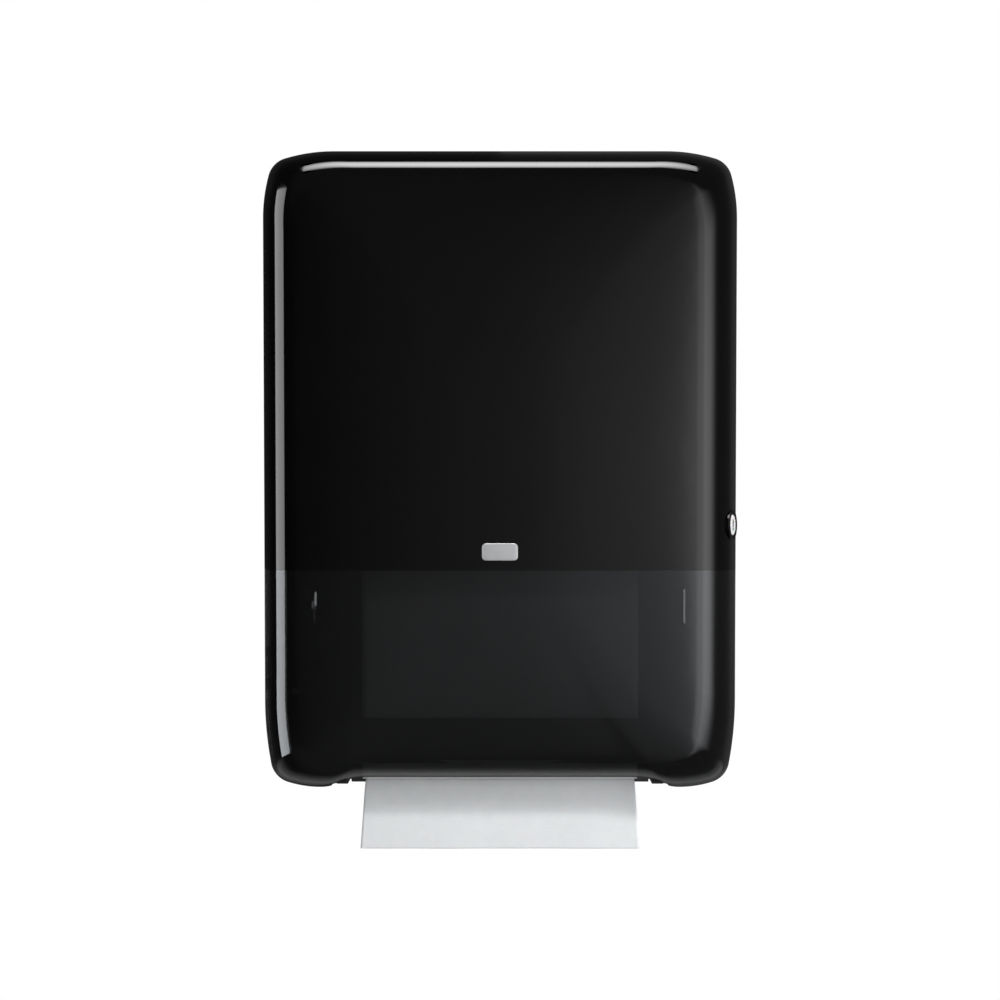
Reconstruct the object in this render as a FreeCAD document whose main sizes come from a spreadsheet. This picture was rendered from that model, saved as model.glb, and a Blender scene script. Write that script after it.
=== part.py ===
import FreeCAD, Part
import math
import os
import re

import Sketcher
from FreeCAD import Matrix, Placement, Rotation, Vector

# Wall-mounted dispenser for a continuous web of folded hand towels.
# X runs to the right, Y into the wall (the back face is y = 0), Z up, all in millimetres.
# The origin is the centre of the wall screws, halfway up the case.

doc = FreeCAD.newDocument("hand_towel_dispenser")
sheet = doc.addObject("Spreadsheet::Sheet", "sizes")

# Driving sizes, in millimetres and degrees
SIZES = {
    # Front outline of the case: half of it, from the middle of the top to the middle of the mouth
    "bay_width": 79.0,
    "half_height": 246.7,
    "side_taper": 0.25,
    "top_easing_radius": 132.6,
    "top_easing_angle": 16.8,
    "top_corner_radius": 18.4,
    "top_side_radius": 126.5,
    "top_side_angle": 15.5,
    "foot_side_radius": 266.7,
    "foot_side_angle": 10.9,
    "foot_corner_radius": 19.1,
    "foot_easing_radius": 86.2,
    "foot_easing_angle": 17.3,
    "lobe_radius": 35.0,
    "lobe_angle": 19.0,
    "mouth_rise": 6.1,
    # Depth profile of the case
    "housing_depth": 24.0,
    "parting_gap": 0.3,
    "draft_angle": 4.0,
    "shoulder_radius": 90.0,
    "shoulder_angle": 22.0,
    "edge_radius": 26.0,
    "crown_angle": 2.5,
    "end_inset_share": 0.8,
    "cover_wall": 2.6,
    "seam_height": -77.0,
    "lap_height": 6.0,
    "lap_clearance": 0.2,
    "tongue_root": 5.0,
    "mouth_margin": 5.5,
    "lip_depth": 19.3,
    "lip_overhang": 4.0,
    # Rear housing
    "back_wall": 3.0,
    "housing_wall": 2.8,
    "housing_inset": 0.3,
    "back_chamfer": 1.8,
    "wall_screw_side": 23.0,
    "wall_screw_room": 71.7,
    "wall_screw_radius": 2.75,
    "wall_boss_radius": 8.0,
    "wall_boss_height": 3.5,
    "post_inset": 7.0,
    "post_room": 98.0,
    "post_foot_radius": 6.0,
    "post_tip_radius": 5.0,
    "rib_height": 8.7,
    "rib_wall": 2.5,
    "hinge_rib_wall": 2.0,
    "hinge_rib_foot": 40.0,
    "hinge_rib_top": 28.0,
    # Cover hinge
    "hinge_inset": 3.4,
    "knuckle_radius": 2.5,
    "knuckle_length": 8.0,
    "cover_knuckle_length": 15.4,
    "knuckle_gap": 0.3,
    "hinge_room": 92.0,
    "pin_radius": 1.2,
    "running_clearance": 0.05,
    "seat_clearance": 0.02,
    "sweep_clearance": 0.5,
    "rib_setback": 3.0,
    "notch_reach": 4.0,
    "relief_shelf": 1.5,
    "relief_run": 2.0,
    "relief_foot": 34.0,
    "relief_top": 19.0,
    # Lock in the right wall of the cover
    "lock_lean": 20.0,
    "lock_height": -42.8,
    "disc_radius": 8.75,
    "disc_wall": 0.8,
    "disc_bevel": 0.3,
    "ring_wall": 3.0,
    "ring_shoulder": 1.3,
    "ring_flange": 1.0,
    "lock_boss_radius": 12.6,
    "lock_boss_depth": 7.0,
    "lock_boss_proud": 0.3,
    "barrel_length": 18.0,
    "cam_wall": 2.5,
    "cam_reach": 16.0,
    "cam_width": 8.0,
    "cam_bevel": 2.0,
    "cam_rounding": 3.0,
    "cam_screw_radius": 3.0,
    "cam_screw_height": 1.6,
    "cam_screw_bevel": 0.7,
    "catch_width": 9.0,
    "catch_offset": 2.9,
    "catch_bar": 6.5,
    "catch_clearance": 1.3,
    "catch_lip": 3.3,
    "catch_lip_drop": 7.5,
    "catch_foot_drop": 14.0,
    "catch_foot_rise": 7.0,
    "catch_foot_wall": 3.0,
    "catch_gusset": 7.0,
    # Towels
    "towel_width": 212.0,
    "towel_fold": 66.0,
    "stack_room": 26.5,
    "bundle_rounding": 3.0,
    "web_inset": 1.2,
    "web_wall": 0.6,
    "web_gap": 0.3,
    "web_easing": 5.0,
    "outlet_inset": 3.6,
    "outlet_recess": 3.9,
    "hem_inset": -0.6,
    "crease_drop": 26.0,
    "crease_setback": 6.0,
    "hang_drop": 53.6,
    "hem_setback": 1.0,
    # Magazine and its front frame
    "wall_gap": 1.0,
    "magazine_wall": 2.5,
    "seat_gap": 0.3,
    "frame_gap": 1.5,
    "frame_wall": 2.5,
    "leg_width": 21.5,
    "frame_top_room": 60.0,
    "frame_foot_room": 19.0,
    "frame_rounding": 18.0,
    "frame_notch_gap": 2.0,
    "leg_gap": 1.0,
    "opening_rise": 22.0,
    "opening_top_room": 90.0,
    "opening_rounding": 8.0,
    "wall_top_room": 76.0,
    "wall_corner": 12.0,
    "wall_slot_side": 20.0,
    "wall_slot_foot": 30.0,
    "wall_slot_top": 40.0,
    "wall_slot_rounding": 10.0,
    "floor_rise": 60.5,
    "clip_side": 6.0,
    "clip_width": 3.0,
    "clip_length": 24.0,
    "clip_top": -94.2,
    "clip_hook": 4.5,
    "clip_lead": 2.0,
    "clip_land": 4.0,
    "clip_back": 3.0,
    "clip_spine": 2.0,
    # Guide roller at the top
    "web_standoff": 4.1,
    "guide_radius": 11.0,
    "guide_wall": 1.5,
    "guide_drop": 48.0,
    "axle_radius": 3.0,
    "cap_flange": 3.0,
    "cap_plug": 8.0,
    "axle_end": 2.0,
    "bracket_wall": 3.0,
    "bracket_foot": 34.0,
    "bracket_back": 22.0,
    "bracket_front": 4.5,
    "bracket_step": 2.0,
    "bracket_nose": 7.0,
    "bracket_crest": 8.0,
    "bracket_cheek": 2.0,
    # Nip rollers, their blocks and the sprung carriage
    "nip_setback": 12.1,
    "nip_rise": 31.0,
    "roller_radius": 6.0,
    "core_radius": 4.6,
    "shaft_radius": 3.0,
    "ring_width": 16.0,
    "ring_margin": 2.0,
    "core_end_gap": 0.5,
    "journal_end_gap": 0.5,
    "bush_wall": 1.95,
    "arm_gap": 2.0,
    "arm_wall": 3.0,
    "arm_eye": 5.0,
    "arm_rim": 0.5,
    "arm_tail_rise": 2.0,
    "arm_tail_drop": 4.0,
    "arm_heel": 3.0,
    "arm_back": 6.0,
    "block_gap": 1.3,
    "block_width": 8.7,
    "block_drop": 24.5,
    "block_rise": 21.0,
    "block_lip_gap": 0.6,
    "block_lip_rise": 8.0,
    "block_toe": 6.6,
    "block_toe_rise": 1.5,
    "block_nose": 0.9,
    "block_nose_drop": 9.0,
    "block_foot_rise": 4.0,
    "rear_foot_gap": 1.7,
    "pivot_setback": 16.0,
    "pivot_rise": 14.0,
    "pivot_radius": 2.0,
    "pivot_end_gap": 1.0,
    "tail_length": 22.0,
    "tail_wall": 2.5,
    "tail_rise": 1.0,
    "bar_front": 4.0,
    "spring_radius": 3.0,
    "spring_wire": 0.5,
    "spring_turns": 4.5,
    "spring_setback": 4.0,
    "spring_inset": 6.0,
    "guard_gap": 1.2,
    "guard_wall": 1.5,
    "guard_rise": 26.5,
    "guard_wrap": 70.0,
    "guard_notch_lean": 38.0,
    "guard_notch_half": 52.0,
    "guard_notch_run": 18.0,
    "outlet_slot": 10.0,
    "outlet_wall": 5.0,
    "outlet_bevel": 1.0,
    "outlet_notch": 1.8,
    "outlet_notch_rise": 2.9,
    # Small hardware and the badge
    "screw_head_radius": 3.6,
    "screw_head_height": 2.0,
    "screw_head_fall": 1.0,
    "screw_radius": 1.6,
    "screw_length": 14.0,
    "badge_width": 27.0,
    "badge_height": 13.0,
    "badge_wall": 0.8,
    "badge_centre": -63.0,
    "badge_rounding": 3.0,
}
BUNDLE_COUNT = 5
RING_COUNT = 5

# Places worked out from the driving sizes. Forward distances count from the wall.
RIM = "housing_depth + parting_gap"
STACK_REAR = "back_wall + rib_height + seat_gap"
STACK_FRONT = f"{STACK_REAR} + towel_fold"
FRAME_REAR = f"{STACK_FRONT} + frame_gap"
FRAME_FRONT = f"{FRAME_REAR} + frame_wall"
WEB_FRONT = f"{FRAME_FRONT} + web_standoff"
CROWN = f"{FRAME_FRONT} + lip_depth"
NIP = f"{WEB_FRONT} - nip_setback"
ROLLER_OFFSET = "roller_radius + web_gap + web_wall / 2"
FRONT_ROLLER = f"{NIP} + {ROLLER_OFFSET}"
REAR_ROLLER = f"{NIP} - ({ROLLER_OFFSET})"
GUIDE_FORWARD = f"{WEB_FRONT} - guide_radius - web_gap - web_wall / 2"
PIVOT_FORWARD = f"{NIP} - pivot_setback"
TAIL_END = f"{PIVOT_FORWARD} - tail_length"
MOUTH_LIP = f"{NIP} + lip_overhang"

# Heights of the fixings and the mechanism, from the foot or the top of the case
SCREW_HEIGHT = "half_height - wall_screw_room"
POST_HEIGHT = "half_height - post_room"
HINGE_HEIGHT = "half_height - hinge_room"
NIP_HEIGHT = "nip_rise - half_height"
PIVOT_HEIGHT = f"{NIP_HEIGHT} + pivot_rise"
FLOOR_TOP = "floor_rise - half_height"
FLOOR_UNDER = f"{FLOOR_TOP} - magazine_wall"
FRAME_NOTCH = f"{FLOOR_UNDER} - frame_notch_gap"
GUIDE_HEIGHT = "half_height - guide_drop"
STACK_TOP = f"{GUIDE_HEIGHT} - guide_radius - stack_room"
BUNDLE_HEIGHT = f"({STACK_TOP} - ({FLOOR_TOP})) / {BUNDLE_COUNT}"
BLOCK_TOP = f"{NIP_HEIGHT} + block_rise"
BLOCK_UNDER = f"{NIP_HEIGHT} - block_drop"
MOUTH_EDGE = "mouth_rise - half_height"
TAIL_TOP = f"{PIVOT_HEIGHT} + tail_rise"
WEB_END = f"{MOUTH_EDGE} + outlet_recess"

# Half widths, from the middle outwards
STACK_HALF = "towel_width / 2"
HALF_WIDTH = f"{STACK_HALF} + bay_width"
WALL_INNER = f"{STACK_HALF} + wall_gap"
WALL_OUTER = f"{WALL_INNER} + magazine_wall"
BRACKET_OUTER = f"{WALL_OUTER} + bracket_wall"
ARM_INNER = f"{WALL_OUTER} + arm_gap"
ARM_OUTER = f"{ARM_INNER} + arm_wall"
BLOCK_INNER = f"{ARM_OUTER} + block_gap"
BLOCK_OUTER = f"{BLOCK_INNER} + block_width"
MOUTH_HALF = f"{BLOCK_OUTER} + mouth_margin"
FRAME_LEG = f"{BLOCK_OUTER} + leg_gap"
FRAME_HALF = f"{FRAME_LEG} + leg_width"
POST_HALF = f"{FRAME_HALF} - post_inset"
SCREW_HALF = f"{HALF_WIDTH} - wall_screw_side"
WEB_HALF = f"{STACK_HALF} - web_inset"
RING_PITCH = f"(towel_width - ring_width - 2 * ring_margin) / {RING_COUNT - 1}"

# Cutters run this far out, or this far past the face that they leave
OUTWARDS = 1000.0
BEYOND = 1.0

# A boss or rib grows out of its wall from this depth
ROOT = 0.5

# The crown is curved over this share of its arc, and its middle is flat
CROWN_SHARE = 0.75

# The hanging towel from its top down: drop, setback and share of its widening
TOWEL_FALL = (
    ("0", "0", 0.0),
    ("crease_drop * 0.55", "crease_setback * 0.45", 0.35),
    ("crease_drop", "crease_setback", 0.7),
    ("(crease_drop + hang_drop) / 2", "crease_setback * 0.6", 0.9),
    ("hang_drop", "hem_setback", 1.0),
)


def fill_sheet():
    """Writes each size into its own cell, with its name as the cell's alias."""
    for row, (name, size) in enumerate(SIZES.items(), 1):
        sheet.set(f"A{row}", name)
        sheet.set(f"B{row}", str(size))
        sheet.setAlias(f"B{row}", name)
    doc.recompute()


def number(text):
    """The value of an expression over the sheet's names."""
    return float(sheet.evalExpression(str(text)))


def in_sheet(text):
    """The same expression with each name pointing at its cell."""
    return re.sub(r"[a-z_]+", lambda word: f"sizes.{word[0]}" if word[0] in SIZES else word[0], str(text))


def bind(thing, path, text):
    """Ties one property of an object to an expression over the sheet."""
    thing.setExpression(path, in_sheet(text))


def place(thing, x="0", y="0", z="0", turn=None):
    """Puts an object at a bound place, turned as given."""
    if turn is not None:
        thing.Placement = Placement(Vector(), turn)
    for axis, text in zip("xyz", (x, y, z)):
        bind(thing, f".Placement.Base.{axis}", text)


# Sketched bodies

def new_body(label):
    body = doc.addObject("PartDesign::Body", label)
    body.Label = label
    return body


def sketch_on(body, role, offset="0"):
    """A sketch on one of the body's own planes, moved along its normal by a bound distance."""
    plane = next(item for item in body.Origin.OriginFeatures if item.Role == role)
    sketch = body.newObject("Sketcher::SketchObject", f"{body.Name}_sketch")
    sketch.AttachmentSupport = [(plane, "")]
    sketch.MapMode = "FlatFace"
    bind(sketch, ".AttachmentOffset.Base.z", offset)
    return sketch


def pin_point(sketch, shape, point, x, y):
    """Holds one point of a sketch at two bound distances from the sketch's origin."""
    for kind, text in (("DistanceX", x), ("DistanceY", y)):
        index = sketch.addConstraint(Sketcher.Constraint(kind, -1, 1, shape, point, number(text)))
        bind(sketch, f"Constraints[{index}]", text)


def draw_polygon(sketch, corners):
    """A closed outline of straight lines through corners whose coordinates are expressions."""
    spots = [Vector(number(x), number(y), 0) for x, y in corners]
    first = sketch.GeometryCount
    count = len(corners)
    for index, spot in enumerate(spots):
        sketch.addGeometry(Part.LineSegment(spot, spots[(index + 1) % count]), False)
    for index in range(count):
        following = first + (index + 1) % count
        sketch.addConstraint(Sketcher.Constraint("Coincident", first + index, 2, following, 1))
    for index, (x, y) in enumerate(corners):
        pin_point(sketch, first + index, 1, x, y)


def draw_circle(sketch, x, y, radius):
    circle = Part.Circle(Vector(number(x), number(y), 0), Vector(0, 0, 1), number(radius))
    shape = sketch.addGeometry(circle, False)
    index = sketch.addConstraint(Sketcher.Constraint("Radius", shape, number(radius)))
    bind(sketch, f"Constraints[{index}]", radius)
    pin_point(sketch, shape, 3, x, y)


def pad(body, sketch, length, both_ways=False):
    """Thickens a sketch along its normal, or half each way."""
    feature = body.newObject("PartDesign::Pad", f"{body.Name}_pad")
    feature.Profile = sketch
    bind(feature, "Length", length)
    feature.Midplane = both_ways
    doc.recompute()
    return feature


def pocket_through(body, sketch):
    """Cuts a sketch right through the body, both ways, and checks that it cut something."""
    before = body.Shape.Volume
    feature = body.newObject("PartDesign::Pocket", f"{body.Name}_pocket")
    feature.Profile = sketch
    feature.Type = "Length"
    feature.Length = OUTWARDS
    feature.Midplane = True
    doc.recompute()
    if not body.Shape.Volume < before:
        raise RuntimeError(f"the pocket in {body.Label} cuts nothing")
    return feature


def edges_along(shape, direction, keep):
    """Names of the straight edges that run along a direction and whose middle passes the test."""
    names = []
    for index, edge in enumerate(shape.Edges, 1):
        ends = [vertex.Point for vertex in edge.Vertexes]
        if len(ends) < 2:
            continue
        run = ends[1] - ends[0]
        parallel = run.Length > 0 and run.cross(direction).Length < 1e-6 * run.Length
        if parallel and keep((ends[0] + ends[1]) / 2):
            names.append(f"Edge{index}")
    return names


def round_edges(body, direction, radius, keep=lambda middle: True):
    """Rounds the edges of the body's last feature that run along a direction."""
    base = body.Tip
    feature = body.newObject("PartDesign::Fillet", f"{body.Name}_rounding")
    feature.Base = (base, edges_along(base.Shape, direction, keep))
    bind(feature, "Radius", radius)
    doc.recompute()
    return feature


def turned(label, corners, y="0", z="0", x="0", turn=None, placement=None):
    """A turned piece: an outline of places along X and radii, revolved about the X axis."""
    body = new_body(label)
    sketch = sketch_on(body, "XY_Plane")
    draw_polygon(sketch, corners)
    feature = body.newObject("PartDesign::Revolution", f"{body.Name}_turning")
    feature.Profile = sketch
    feature.ReferenceAxis = (sketch, ["H_Axis"])
    feature.Angle = 360
    doc.recompute()
    if placement is None:
        place(body, x, y, z, turn)
    else:
        body.Placement = placement
    return body


def tube_outline(start, end, inner, outer):
    return [(start, inner), (end, inner), (end, outer), (start, outer)]


def feature(label, shape):
    """A piece whose shape is built directly."""
    thing = doc.addObject("Part::Feature", label)
    thing.Shape = shape
    thing.Label = label
    return thing


def block(x0, x1, y0, y1, z0, z1):
    """A box between two opposite corners."""
    return Part.makeBox(x1 - x0, y1 - y0, z1 - z0, Vector(x0, y0, z0))


def rod(radius, start, end, bore=0.0):
    """A round bar, or a tube, between two points."""
    run = end - start
    bar = Part.makeCylinder(radius, run.Length, start, run)
    if bore:
        way = run / run.Length
        bar = bar.cut(Part.makeCylinder(bore, run.Length + 2 * BEYOND, start - way * BEYOND, way))
    return bar


# Outline and skin of the case

def arc_run(start, heading, arcs):
    """Tangent arcs one after another: each has a radius, an angle, and a turn of -1 right or 1 left."""
    edges = []
    for radius, angle, turn in arcs:
        centre = start + Vector(-math.sin(heading), 0, math.cos(heading)) * (turn * radius)
        headings = [heading + turn * math.radians(angle) * share for share in (0, 0.5, 1)]
        points = [
            centre + Vector(math.sin(way), 0, -math.cos(way)) * (turn * radius) for way in headings
        ]
        edges.append(Part.Arc(*points).toShape())
        start = points[2]
        heading = headings[2]
    return edges, start


def case_outline():
    """The front outline at the parting line, as one wire in the XZ plane."""
    taper = number("side_taper")
    height = number("half_height")
    top_arcs = [
        (number("top_easing_radius"), number("top_easing_angle"), -1),
        (number("top_corner_radius"), 90 + taper - number("top_easing_angle + top_side_angle"), -1),
        (number("top_side_radius"), number("top_side_angle"), -1),
    ]
    foot_arcs = [
        (number("foot_side_radius"), number("foot_side_angle") - taper, -1),
        (number("foot_corner_radius"), 90 - number("foot_side_angle + foot_easing_angle"), -1),
        (number("foot_easing_radius"), number("foot_easing_angle"), -1),
    ]
    down = -math.radians(90 + taper)
    corner, corner_end = arc_run(Vector(), 0.0, top_arcs)
    foot, foot_end = arc_run(Vector(), down, foot_arcs)
    side_drop = 2 * height + corner_end.z + foot_end.z
    side_drift = side_drop * math.tan(math.radians(taper))
    flat = Vector(number(HALF_WIDTH) - corner_end.x, 0, height)
    side_top = flat + corner_end
    side_foot = side_top - Vector(side_drift, 0, side_drop)
    lobe_turn = number("lobe_angle")
    share = 1 - math.cos(math.radians(lobe_turn))
    mouth_radius = number("mouth_rise") / share - number("lobe_radius")
    lobe_arcs = [(number("lobe_radius"), lobe_turn, -1), (mouth_radius, lobe_turn, 1)]
    lobe, mouth = arc_run(side_foot + foot_end, math.pi, lobe_arcs)
    for edge in corner:
        edge.translate(flat)
    for edge in foot:
        edge.translate(side_foot)
    half = corner + [Part.LineSegment(side_top, side_foot).toShape()] + foot + lobe
    other = [edge.mirror(Vector(), Vector(1, 0, 0)) for edge in half]
    top = Part.LineSegment(Vector(-flat.x, 0, flat.z), flat).toShape()
    mouth_line = Part.LineSegment(mouth, Vector(-mouth.x, 0, mouth.z)).toShape()
    return Part.Wire(Part.__sortEdges__([top] + half + [mouth_line] + other))


def side_at(z):
    """Half width of the outline at a height on its straight side."""
    taper = math.tan(math.radians(number("side_taper")))
    return number(HALF_WIDTH) - (side_top_height() - z) * taper


def side_top_height():
    """Height at which the straight side begins, under the top corner."""
    upright = number("90 + side_taper")
    angles = [number("top_easing_angle"), upright - number("top_side_angle"), upright]
    radii = [number("top_easing_radius"), number("top_corner_radius"), number("top_side_radius")]
    drop = 0.0
    before = 0.0
    for radius, angle in zip(radii, angles):
        drop += radius * (math.cos(math.radians(before)) - math.cos(math.radians(angle)))
        before = angle
    return number("half_height") - drop


def section(outline, depth, inset):
    """The outline drawn in by an inset at the sides, less at the ends, and moved forward."""
    matrix = Matrix()
    matrix.A11 = 1 - inset / number(HALF_WIDTH)
    matrix.A33 = 1 - number("end_inset_share") * inset / number("half_height")
    matrix.A24 = -depth
    return outline.transformGeometry(matrix)


def skin_point(lean):
    """Forward distance and inset of the cover's skin where it leans by an angle from straight ahead."""
    draft = math.radians(number("draft_angle"))
    turn = math.radians(number("shoulder_angle"))
    crown = math.pi / 2 - math.radians(number("crown_angle"))
    shoulder = number("shoulder_radius")
    edge = number("edge_radius")
    edge_depth = edge * (math.sin(crown) - math.sin(turn))
    shoulder_depth = shoulder * (math.sin(turn) - math.sin(draft))
    edge_inset = edge * (math.cos(turn) - math.cos(crown))
    shoulder_inset = shoulder * (math.cos(draft) - math.cos(turn))
    chord = number(HALF_WIDTH) - edge_inset - shoulder_inset
    crown_radius = chord / math.sin(math.pi / 2 - crown)
    crown_depth = crown_radius * (1 - math.sin(crown))
    straight = number(CROWN) - number(RIM) - shoulder_depth - edge_depth - crown_depth
    straight_inset = straight * math.tan(draft)
    if lean <= draft:
        return number(RIM) + straight, straight_inset
    depth = number(RIM) + straight
    inset = straight_inset
    bend = min(lean, turn)
    depth += shoulder * (math.sin(bend) - math.sin(draft))
    inset += shoulder * (math.cos(draft) - math.cos(bend))
    if lean > turn:
        bend = min(lean, crown)
        depth += edge * (math.sin(bend) - math.sin(turn))
        inset += edge * (math.cos(turn) - math.cos(bend))
    if lean > crown:
        depth += crown_radius * (math.sin(lean) - math.sin(crown))
        inset += crown_radius * (math.cos(crown) - math.cos(lean))
    return depth, inset


def skin_solid(outline, wall):
    """The space inside the cover's skin, drawn in by a wall thickness, closed at both ends.

    It is three lofts joined face to face: the straight rim, the rounded shoulder and the crown.
    """
    draft = math.radians(number("draft_angle"))
    turn = math.radians(number("shoulder_angle"))
    crown = math.radians(90 - number("crown_angle"))
    rim = number(RIM)
    overrun = BEYOND if wall else 0.0
    side = wall / math.cos(draft)

    def station(lean):
        depth, inset = skin_point(lean)
        return section(outline, depth - wall * math.sin(lean), inset + wall * math.cos(lean))

    def stations(first, last, count):
        return [station(first + (last - first) * step / count) for step in range(count + 1)]

    rim_section = section(outline, rim - overrun, side - overrun * math.tan(draft))
    straight = Part.makeLoft([rim_section, station(draft)], True, True)
    shoulder = Part.makeLoft(stations(draft, turn, 3) + stations(turn, crown, 5)[1:], True, False)
    front = Part.makeLoft(stations(crown, crown + (math.pi / 2 - crown) * CROWN_SHARE, 3), True, False)
    return straight.fuse([shoulder, front]).removeSplitter()


def hinge_zones():
    """Middle heights of the two hinges."""
    return [number(HINGE_HEIGHT), -number(HINGE_HEIGHT)]


def hinge_place():
    """Where the hinge axis crosses the plane of the floor."""
    return Vector(number(f"hinge_inset - ({HALF_WIDTH})"), -number(RIM), 0)


# Rear housing: a moulded tray with wall-screw bosses, frame posts, stack ribs and hinge knuckles

def housing_knuckles(outer_prism):
    """Two knuckles for each hinge, carried on webs that stand on the back wall."""
    axis = hinge_place()
    radius = number("knuckle_radius")
    length = number("knuckle_length")
    reach = number("cover_knuckle_length") / 2 + number("knuckle_gap")
    shapes = []
    for middle in hinge_zones():
        for low in (middle - reach - length, middle + reach):
            start = axis + Vector(0, 0, low)
            barrel = rod(radius, start, start + Vector(0, 0, length))
            web = block(axis.x - radius, axis.x + number("rib_setback"), axis.y, ROOT - number("back_wall"),
                        low, low + length)
            shapes.append(barrel.fuse(web).common(outer_prism))
    return shapes


def hinge_relief():
    """The groove along the hinge side that the cover's edge swings through."""
    axis = hinge_place()
    sweep = number("hinge_inset + sweep_clearance")
    slant = sweep + number("relief_run")
    inner = axis.x + number("rib_setback")
    corners = [
        Vector(-OUTWARDS, axis.y + slant, 0),
        Vector(axis.x - sweep, axis.y + slant, 0),
        Vector(axis.x + number("relief_shelf"), axis.y + sweep, 0),
        Vector(inner, axis.y + sweep, 0),
        Vector(inner, axis.y - BEYOND, 0),
        Vector(-OUTWARDS, axis.y - BEYOND, 0),
    ]
    face = Part.Face(Part.makePolygon(corners + corners[:1]))
    low = number("relief_foot - half_height")
    face.translate(Vector(0, 0, low))
    return face.extrude(Vector(0, 0, number("half_height - relief_top") - low))


def housing_tray(outline):
    """The tray itself: a back wall with a chamfered edge and a side wall all round."""
    depth = number("housing_depth")
    inset = number("housing_inset")
    chamfer = number("back_chamfer")
    stations = [
        section(outline, 0, inset + chamfer),
        section(outline, chamfer, inset),
        section(outline, depth, inset),
    ]
    outer = Part.makeLoft(stations, True, True)
    floor = Part.Face(section(outline, number("back_wall"), inset + number("housing_wall")))
    return outer.cut(floor.extrude(Vector(0, -depth, 0))).cut(hinge_relief())


def screw_bosses():
    """Bosses for the four wall screws, and their holes."""
    root = ROOT - number("back_wall")
    front = -number("back_wall + wall_boss_height")
    bosses = []
    bores = []
    for x in (-number(SCREW_HALF), number(SCREW_HALF)):
        for z in (-number(SCREW_HEIGHT), number(SCREW_HEIGHT)):
            bosses.append(rod(number("wall_boss_radius"), Vector(x, root, z), Vector(x, front, z)))
            bores.append(rod(number("wall_screw_radius"), Vector(x, BEYOND, z), Vector(x, front - BEYOND, z)))
    return bosses, bores


def frame_posts():
    """Tapered posts that carry the front frame, and the holes for its screws."""
    root = ROOT - number("back_wall")
    tip = -number(FRAME_REAR)
    posts = []
    bores = []
    for x in (-number(POST_HALF), number(POST_HALF)):
        for z in (-number(POST_HEIGHT), number(POST_HEIGHT)):
            posts.append(Part.makeCone(number("post_foot_radius"), number("post_tip_radius"), root - tip,
                                       Vector(x, root, z), Vector(0, -1, 0)))
            bores.append(rod(number("screw_radius + seat_clearance"),
                             Vector(x, tip + number("screw_length"), z), Vector(x, tip - BEYOND, z)))
    return posts, bores


def wall_ribs():
    """A rib beside the hinge groove, and one behind each joint in the stack of towels."""
    root = ROOT - number("back_wall")
    inner = hinge_place().x + number("rib_setback")
    ribs = [
        block(inner, inner + number("hinge_rib_wall"), number("parting_gap - housing_depth"), root,
              number("hinge_rib_foot - half_height"), number("half_height - hinge_rib_top"))
    ]
    half = number(STACK_HALF)
    front = -number("back_wall + rib_height")
    for index in range(1, BUNDLE_COUNT):
        low = number(f"{FLOOR_TOP} + {index} * {BUNDLE_HEIGHT} - rib_wall / 2")
        ribs.append(block(-half, half, front, root, low, low + number("rib_wall")))
    return ribs


def rear_housing():
    outline = case_outline()
    prism = Part.Face(section(outline, -ROOT, number("housing_inset")))
    prism = prism.extrude(Vector(0, -number(f"{RIM} + 2 * knuckle_radius"), 0))
    bosses, screw_bores = screw_bosses()
    posts, post_bores = frame_posts()
    shape = housing_tray(outline).multiFuse(bosses + posts + wall_ribs() + housing_knuckles(prism))
    axis = hinge_place()
    reach = Vector(0, 0, number("cover_knuckle_length / 2 + knuckle_gap + knuckle_length") + BEYOND)
    pin_bores = [
        rod(number("pin_radius + seat_clearance"), axis + Vector(0, 0, middle) - reach,
            axis + Vector(0, 0, middle) + reach)
        for middle in hinge_zones()
    ]
    for bore in screw_bores + post_bores + pin_bores:
        shape = shape.cut(bore)
    return shape.removeSplitter()


# Cover: an opaque upper shell and a smoked lower window, lapped behind the seam

def above(height, top=OUTWARDS):
    return block(-OUTWARDS, OUTWARDS, -OUTWARDS, OUTWARDS, height, top)


def cover_notches():
    """Gaps in the cover's rim that swing round the housing's knuckles."""
    axis = hinge_place()
    reach = number("cover_knuckle_length") / 2
    width = number("knuckle_length + 2 * knuckle_gap")
    cuts = []
    for middle in hinge_zones():
        for low in (middle - reach - width, middle + reach):
            cuts.append(block(-OUTWARDS, axis.x + number("notch_reach"),
                              axis.y - number("knuckle_radius + hinge_inset"), 0, low, low + width))
    return cuts


def cover_knuckle(middle):
    axis = hinge_place()
    half = number("cover_knuckle_length") / 2
    low = axis + Vector(0, 0, middle - half)
    high = axis + Vector(0, 0, middle + half)
    return rod(number("knuckle_radius"), low, high)


def cover_pin_bore(middle):
    axis = hinge_place()
    half = number("cover_knuckle_length / 2 + knuckle_gap")
    return rod(number("pin_radius + running_clearance"), axis + Vector(0, 0, middle - half),
               axis + Vector(0, 0, middle + half))


def lock_axis():
    """Centre of the lock on the skin of the right wall, and the direction it faces."""
    lean = math.radians(number("lock_lean"))
    depth, inset = skin_point(lean)
    side = side_at(number("lock_height"))
    centre = Vector(side * (1 - inset / number(HALF_WIDTH)), -depth, number("lock_height"))
    return centre, Vector(math.cos(lean), -math.sin(lean), 0)


def finish_shell(shape, zone):
    """Knuckle and pin bore of the hinge in one of the cover's two mouldings."""
    shape = shape.fuse(cover_knuckle(zone))
    for notch in cover_notches():
        shape = shape.cut(notch)
    return shape.cut(cover_pin_bore(zone))


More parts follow.
